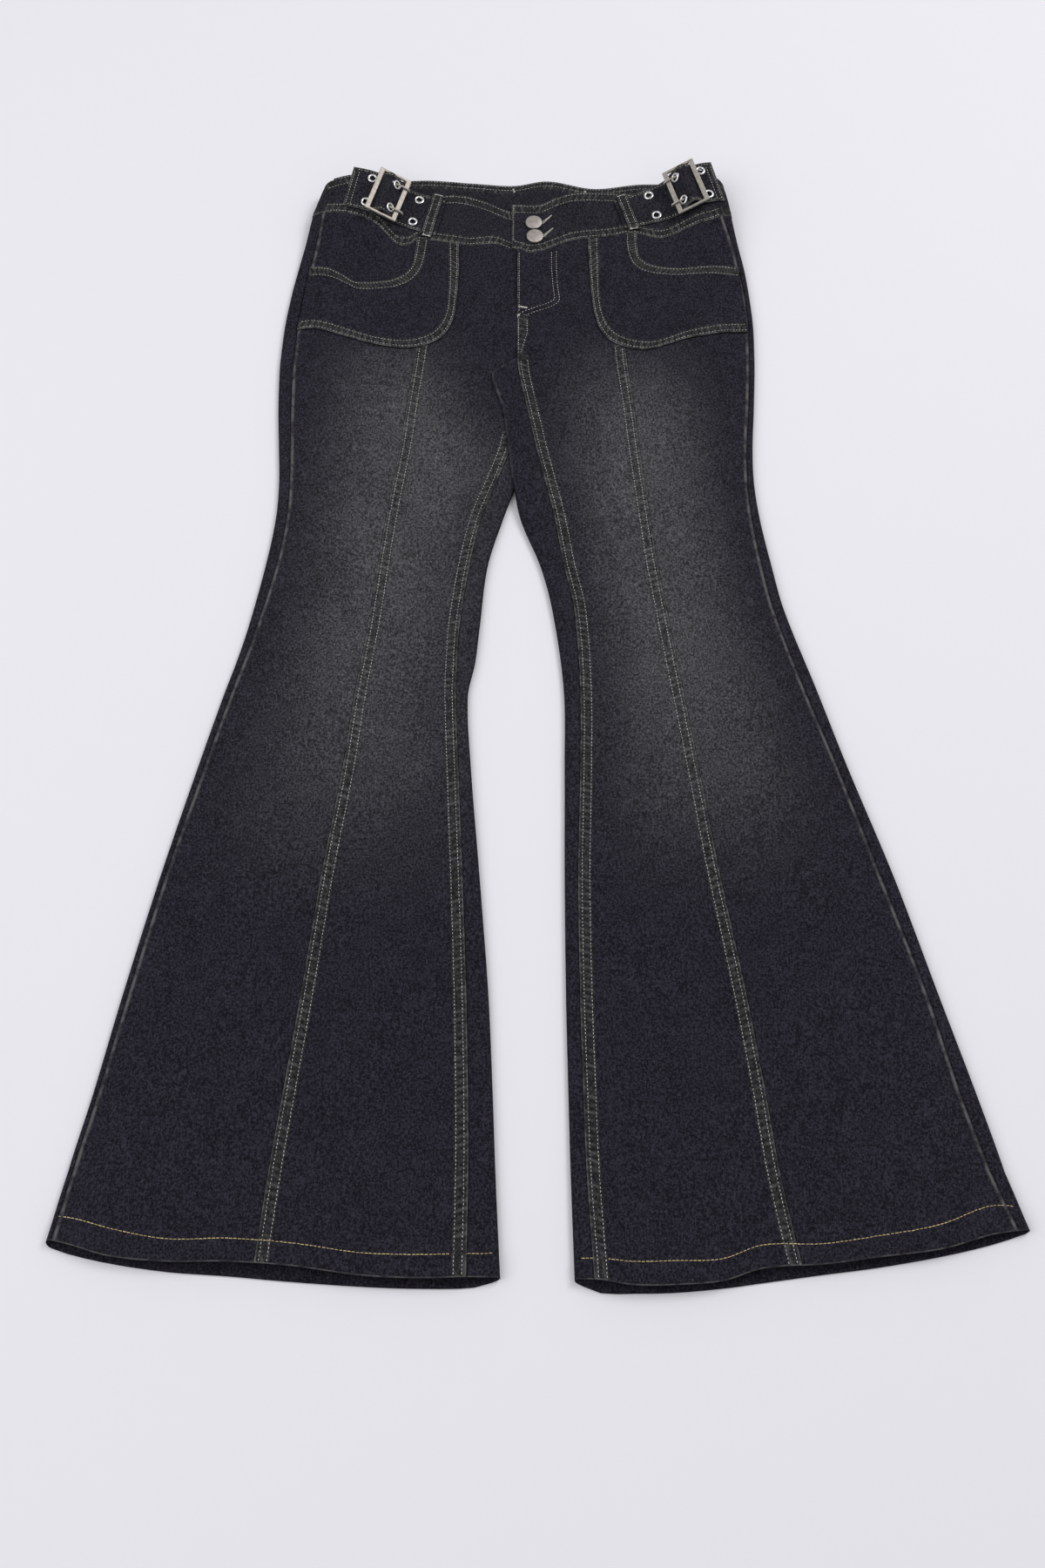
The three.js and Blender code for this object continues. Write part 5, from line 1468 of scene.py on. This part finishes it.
def denim(name, dark, worn, band, fade=True):
    """Flecked dark cloth, fading to worn, with lighter edges and crests that are partly wear and partly
    painted highlight, and another tone on the sewn bands.
    """
    paint = Paint(name)
    warp = paint.noise(1.0, 2.0, 0.6, paint.stretched(WARP_GRAIN))
    weft = paint.noise(1.0, 2.0, 0.6, paint.stretched(WEFT_GRAIN))
    grain = paint.noise(560.0, 2.0, 0.7)
    cloud = paint.noise(14.0, 3.0, 0.55)
    blotch = paint.noise(70.0, 2.0, 0.6)
    run = paint.attribute("run")
    inset = paint.attribute("inset")
    ridge = paint.attribute("ridge")
    on_band = paint.step(inset, 10.0, 11.5, 1.0, 0.0)
    patchy = paint.step(paint.noise(95.0, 2.0, 0.6), 0.36, 0.62)
    # Rungs follow the puckers' crests along the sewn bands: there the fade shows through as wear, and the
    # crests are also lightened towards the edge colour, partly wear and partly painted highlight.
    rung = paint.math("SINE", run * (2 * math.pi / PUCKER_PITCH) + ridge * 0.35)
    rung = paint.step(rung, -0.2, 0.9) * patchy
    base = paint.blend(on_band, dark, band)
    if fade:
        amount = paint.attribute("fade") * (0.6 + cloud * 0.8) * (1 - on_band * (0.6 - 0.5 * rung))
        base = paint.blend(paint.clamp(amount), base, worn)
    fleck = 1 + (grain - 0.5) * 4.6 + (warp - 0.5) * 2.8 + (weft - 0.5) * 1.6 + (blotch - 0.5) * 0.7
    base = paint.shade(base, FLECK_LOW + paint.clamp((fleck - FLECK_LOW) / FLECK_RANGE) * FLECK_RANGE)
    # Lighter lines along ridges and fold edges: partly wear, partly painted highlight where light catches the
    # ridge.
    edge = paint.step(ridge, 0.3, 1.4, 1.0, 0.0) * (0.2 + 0.8 * patchy)
    base = paint.blend(paint.clamp(edge * 0.7 + rung * on_band * 0.3), base, WORN_EDGE_AND_HIGHLIGHT)
    weave = paint.math("SINE", paint.node("ShaderNodeVectorMath", {"operation": "DOT_PRODUCT"}, {
        0: paint.place, 1: TWILL,
    }, "Value"))
    normal = paint.bump(weave * 0.25 + warp * 1.6 + weft * 0.8 + grain, 0.00022, 0.8)
    return paint.finish({
        "Base Color": base, "Roughness": 0.95, "Specular IOR Level": 0.04, "Sheen Weight": 0.02,
        "Sheen Roughness": 0.6, "Normal": normal,
    })


def thread(name, light, dark):
    paint = Paint(name)
    soil = paint.noise(160.0, 2.0, 0.6)
    fibre = paint.noise(1.0, 1.0, 0.5, paint.stretched((2600, 2600, 2600)))
    base = paint.blend(paint.step(soil, 0.35, 0.65), dark, light)
    base = paint.shade(base, 1 + (fibre - 0.5) * 0.6)
    return paint.finish({
        "Base Color": base, "Roughness": 0.75, "Specular IOR Level": 0.2, "Sheen Weight": 0.1,
        "Normal": paint.bump(fibre, 0.0001, 0.6),
    })


def metal(name, light, dark, rough, scratch):
    paint = Paint(name)
    tarnish = paint.noise(260.0, 3.0, 0.6)
    lines = paint.noise(1.0, 2.0, 0.6, paint.stretched((3800, 500, 900)))
    base = paint.blend(paint.step(tarnish, 0.35, 0.7), light, dark)
    return paint.finish({
        "Base Color": base, "Metallic": 1.0, "Roughness": rough + (lines - 0.5) * scratch + tarnish * 0.1,
        "Normal": paint.bump(lines, 0.00004, 0.5),
    })


DARK = colour(36, 34, 42)
WORN = colour(69, 69, 72)
DENIM_BACK = denim("denim, back of the legs", DARK, WORN, colour(40, 40, 42))
DENIM_FRONT = denim("denim, front of the legs", DARK, WORN, colour(41, 41, 43))
DENIM_BAND = denim("denim, waistband", colour(37, 36, 42), colour(66, 66, 69), colour(40, 40, 42), fade=False)
THREAD = thread("beige thread", colour(226, 223, 214), colour(172, 169, 160))
HEM_THREAD = thread("golden hem thread", colour(226, 206, 150), colour(176, 158, 116))
BUCKLE_METAL = metal("buckle metal", colour(188, 181, 173), colour(168, 161, 153), 0.55, 0.06)
EYELET_METAL = metal("eyelet metal", colour(240, 240, 240), colour(224, 224, 224), 0.25, 0.06)
BUTTON_METAL = metal("button metal", colour(186, 179, 174), colour(166, 160, 155), 0.5, 0.08)


# Pieces

def cloth(sheet, node, material):
    """Builds a sheet of cloth, works out its cut without using it, and puts it in place of its solid."""
    piece = sheet.build(f"cloth_{node}")
    width, length, area = sheet.cut()
    piece.data.materials.append(material)
    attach(piece, "root")
    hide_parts(node)


def hard(piece, node, material):
    piece.data.materials.append(material)
    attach(piece, "root")
    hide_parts(node)


for leg in LEGS:
    name = leg.name
    cloth(back_leg(leg), f"back_leg_{name}", DENIM_BACK)
    cloth(front_inner(leg), f"front_inner_{name}", DENIM_FRONT)
    cloth(front_side(leg), f"front_side_{name}", DENIM_FRONT)
    cloth(pocket(leg), f"pocket_{name}", DENIM_FRONT)
    cloth(waistband_front(leg), f"waistband_front_{name}", DENIM_BAND)
    cloth(strap(leg), f"strap_{name}", DENIM_BAND)
    cloth(belt_loop(leg), f"belt_loop_{name}", DENIM_BAND)
    for number, (along, across) in enumerate(eyelet_spots(leg), 1):
        hard(eyelet(leg, number, along, across), f"eyelet_{name}_{number}", EYELET_METAL)
    hard(buckle(leg), f"buckle_{name}", BUCKLE_METAL)
    for number, side in enumerate((-1, 1), 1):
        hard(prong(leg, number, side), f"prong_{name}_{number}", BUCKLE_METAL)
cloth(waistband_back(), "waistband_back", DENIM_BAND)
cloth(fly(), "fly", DENIM_FRONT)
for name, (across, height) in BUTTONS.items():
    hard(button(name, across, height), name, BUTTON_METAL)


# Rows of stitches

def on_panel(leg, out, height, lift=0.0):
    z = top(leg, out, height) + HALF + lift
    return spots(leg.sign * out, height, z)


def princess_line(leg):
    def surface(row, inset):
        out = leg.edges.princess(row) - SEAM_GAP / 2 - inset
        height = row_height(leg, row, out, 1)
        hem_rise, _ = hem_relief(leg, out, height)
        return on_panel(leg, out, height, felled(inset, height, PRINCESS_SEED) + hem_rise)
    return surface


def inseam_line(leg):
    def surface(row, inset):
        out = leg.edges.front(row) + SEAM_GAP / 2 + inset
        height = row_height(leg, row, out, 1)
        hem_rise, _ = hem_relief(leg, out, height)
        rise = felled(inset * centre_stretch(leg, height), height, INSEAM_SEED) * inseam_band(leg, height)
        return on_panel(leg, out, height, rise + hem_rise)
    return surface


def hem_line(leg):
    def surface(out, above):
        height = leg.hem.stitch(out) + above
        hem_rise, _ = hem_relief(leg, out, height)
        inset = leg.edges.princess(height) - SEAM_GAP / 2 - out
        band = np.where(inset > 0, felled(inset, height, PRINCESS_SEED), 0)
        return on_panel(leg, out, height, hem_rise + 0.1 + band)
    return surface


def pocket_line(leg, from_scoop):
    def surface(step, inset):
        out, height, _ = pocket_places(leg, step, inset, from_scoop)
        relief = pocket_relief(inset, pocket_run(leg, step), from_scoop)
        return on_panel(leg, out, height, POCKET_GAP + POCKET_CLOTH + relief)
    return surface


def pocket_steps(leg, inset, from_scoop):
    """Steps along a patch that are clear of the waistband and the side seam."""
    step = np.linspace(0, POCKET_END, 400)
    out, height, _ = pocket_places(leg, step, np.full(400, float(inset)), from_scoop)
    clear = (height < leg.band.seam(out) - BELOW_BAND - 0.8) & (out < side_seam(leg, height) - 0.8)
    return step[clear]


def fly_line(out, height):
    over = np.maximum(HALF, fly_lift(out, height) + FLY_CLOTH / 2 + fly_relief(out, height))
    return spots(out, height, top(RIGHT, out, height) + over)


def fly_turn(inset):
    """A line inside the fly's sewn edge."""
    height = np.linspace(FLY_BOTTOM, FLY_TOP + FLY_ABOVE, 160)
    out = FLY.edge(np.minimum(height, FLY_TOP))
    side_x = np.gradient(height)
    side_y = -np.gradient(out)
    size = np.hypot(side_x, side_y)
    return out - inset * side_x / size, height - inset * side_y / size


def band_line(leg, at_top):
    def surface(out, inset):
        low = leg.band.seam(out) + SEAM_GAP / 2
        tall = leg.band.top(out) - low
        part = 1 - inset / tall if at_top else inset / tall
        height, middle = band_surface(leg, out, part)
        rise = band_rise(np.abs(out), part * tall, (1 - part) * tall, BAND_SEED[leg.name])
        return spots(leg.sign * out, height, middle + HALF + rise)
    return surface


def back_band_line(x, from_top):
    height = BACK_BAND.top(x) - from_top
    return spots(x, height, CLOTH + band_rise(x, height - BACK_SEAM, from_top, BAND_SEED["back"]))


def strap_line(leg):
    def surface(along, across):
        relief, _ = strap_relief(leg, along, across)
        return strap_point(leg, along, across, STRAP_CLOTH / 2 + relief)
    return surface


def loop_line(leg):
    def surface(across, along):
        point = loop_surface(leg, across, along)
        point[..., 2] += LOOP["cloth"] / 2 - 0.1
        return point
    return surface


def sew_leg(threads, leg):
    up = np.linspace(HEM_ROW + 1, CROTCH + 13, 700)
    for inset, hidden in ((ROW_NEAR, 726), (ROW_FAR, 742)):
        threads.row(princess_line(leg), up, inset)
        reach = up[up < hidden] if leg is LEFT else up[up < CROTCH - 3]
        threads.row(inseam_line(leg), reach, inset)
    if leg is RIGHT:
        centre = np.linspace(CROTCH + 3, CENTRE_ROWS, 80)
        threads.row(inseam_line(leg), centre, 1.2)
        wide = mix(CENTRE_NARROW, BAND_WIDTH, np.clip((centre - CROTCH) / CENTRE_TALL, 0, 1))
        threads.row(inseam_line(leg), centre, wide - 1.5)


def sew_pocket(threads, leg):
    for from_scoop, insets in ((False, PATCH_ROWS), (True, SCOOP_ROWS)):
        for inset in insets:
            steps = pocket_steps(leg, inset, from_scoop)
            threads.row(pocket_line(leg, from_scoop), steps, inset, step=0.02)


def sew_band(threads, leg):
    end = leg.edges.outer(1020) - HALF - fold_radius(leg, 1020) - 1
    out = np.linspace(UNDERLAP[leg.name] + 2, end, 300)
    for at_top, insets in ((False, BAND_SEAM_ROWS), (True, BAND_TOP_ROWS)):
        for inset in insets:
            threads.row(band_line(leg, at_top), out, inset)
    if leg is RIGHT:
        down = np.linspace(1, 46, 80)
        threads.row(band_line(leg, True), np.full(80, UNDERLAP["right"] + 1.7), down)


def sew_strap(threads, leg):
    length = STRAPS[leg.name]["length"]
    edge = STRAP_WIDTH / 2 - STRAP_ROW
    line = strap_line(leg)
    along = np.linspace(0.5, length - STRAP_ROW, 200)
    for side in (-1, 1):
        threads.row(line, along, side * edge)
    for inset in (STRAP_ROW, 7):
        threads.row(line, np.full(60, length - inset), np.linspace(-edge, edge, 60))
    for inset in (LOOP_ROW, LOOP["width"] - LOOP_ROW):
        across = np.linspace(-LOOP["reach"] + 1, LOOP["reach"] - 1, 80)
        threads.row(loop_line(leg), across, LOOP["along"] - LOOP["width"] / 2 + inset)
    for end in (-1, 1):
        reach = end * (LOOP["reach"] - 1.6)
        half = LOOP["width"] / 2 - 1
        bartack(threads, loop_line(leg), (reach, LOOP["along"] - half), (reach, LOOP["along"] + half))


def bartack(threads, surface, start, end, wide=2.2):
    """A short dense bar of stitches from one place to another."""
    a, b = (np.linspace(start[i], end[i], 20) for i in range(2))
    threads.row(surface, a, b, pitch=0.55, length=wide, width=0.5, crosswise=True)


def sew_fly(threads):
    height = np.linspace(FLY_BOTTOM + 10, FLY_TOP, 100)
    threads.row(fly_line, np.full(100, FLY_EDGE + 1.6), height)
    for inset in FLY_ROWS:
        out, up = fly_turn(inset)
        threads.row(fly_line, out, up)
    bartack(threads, fly_line, (-15.5, 889), (-6.5, 887))
    bartack(threads, fly_line, (-15.5, 880), (-14, 870), 3)


def sew_buttonholes(threads):
    """The visible ends of the buttonholes, beside the buttons."""
    line = band_line(RIGHT, True)
    for across, height in BUTTONS.values():
        inset = RIGHT.band.top(across) - height
        end = (across + 18, inset - 4.5)
        for lift in (-1.2, 1.2):
            bartack(threads, line, (across + 8.4, inset + lift), end, 1.4)


def sewn(piece, material):
    piece.data.materials.append(material)
    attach(piece, "root")


def build_threads():
    for seed, leg in enumerate(LEGS):
        threads = Threads(40 + seed)
        sew_leg(threads, leg)
        sew_pocket(threads, leg)
        sewn(threads.build(f"stitches_leg_{leg.name}"), THREAD)
        hem = Threads(50 + seed)
        out = np.linspace(leg.edges.inner(0) + 5, leg.edges.outer(5) - 5, 500)
        hem.row(hem_line(leg), out, 0.0, pitch=3.2, length=2.9, width=0.75, height=0.4)
        sewn(hem.build(f"stitches_hem_{leg.name}"), HEM_THREAD)
    waist = Threads(60)
    for leg in LEGS:
        sew_band(waist, leg)
        sew_strap(waist, leg)
    sew_fly(waist)
    sew_buttonholes(waist)
    for x in (-21, 51):
        bartack(waist, back_band_line, (x, 4), (x + 1.5, 9), 2.4)
    across = np.linspace(-BACK_JOINT["left"] + 2, BACK_JOINT["right"] - 2, 300)
    for inset in BACK_BAND_ROWS:
        waist.row(back_band_line, across, inset)
    sewn(waist.build("stitches_waist"), THREAD)


build_threads()


# Floor, light and camera

def plain(name, base, rough):
    paint = Paint(name)
    speckle = paint.noise(40.0, 3.0, 0.6)
    return paint.finish({
        "Base Color": paint.blend(speckle * 0.04, base, colour(200, 200, 206)), "Roughness": rough,
        "Specular IOR Level": 0.1,
    })


def set_floor():
    points = np.array([(-6000, -6000, 0), (6000, -6000, 0), (6000, 7000, 0), (-6000, 7000, 0)], float)
    floor = add_object("floor", points, np.array([[0, 1, 2, 3]]))
    floor.data.materials.append(plain("pale floor", colour(233, 232, 237), 0.8))


def area_light(name, place, target, size, watts, tint):
    light = bpy.data.lights.new(name, "AREA")
    light.shape = "RECTANGLE"
    light.size, light.size_y = size
    light.energy = watts
    light.color = tint
    lamp = bpy.data.objects.new(name, light)
    lamp.location = place
    aim = Vector(target) - Vector(place)
    lamp.rotation_euler = aim.to_track_quat("-Z", "Y").to_euler()
    bpy.context.scene.collection.objects.link(lamp)


def set_light():
    world = bpy.data.worlds.new("pale room")
    world.use_nodes = True
    background = world.node_tree.nodes["Background"]
    background.inputs["Color"].default_value = (0.975, 0.975, 1, 1)
    background.inputs["Strength"].default_value = 0.495
    bpy.context.scene.world = world
    area_light("key", (2.4, 1.6, 3.2), (0, 0, 0), (1.8, 1.8), 79, (1, 0.995, 0.985))
    area_light("fill", (-2.4, -0.4, 2.4), (0, 0, 0), (2.6, 2.6), 44, (0.975, 0.98, 1))


def set_camera():
    camera = bpy.data.cameras.new("camera")
    camera.lens = 38.98
    camera.sensor_width = 36
    seen = bpy.data.objects.new("camera", camera)
    seen.location = (-0.012, -0.7314, 1.2952)
    seen.rotation_euler = (math.radians(25), 0, 0)
    bpy.context.scene.collection.objects.link(seen)
    bpy.context.scene.camera = seen


set_floor()
set_light()
set_camera()
bpy.context.scene.view_settings.view_transform = "Standard"
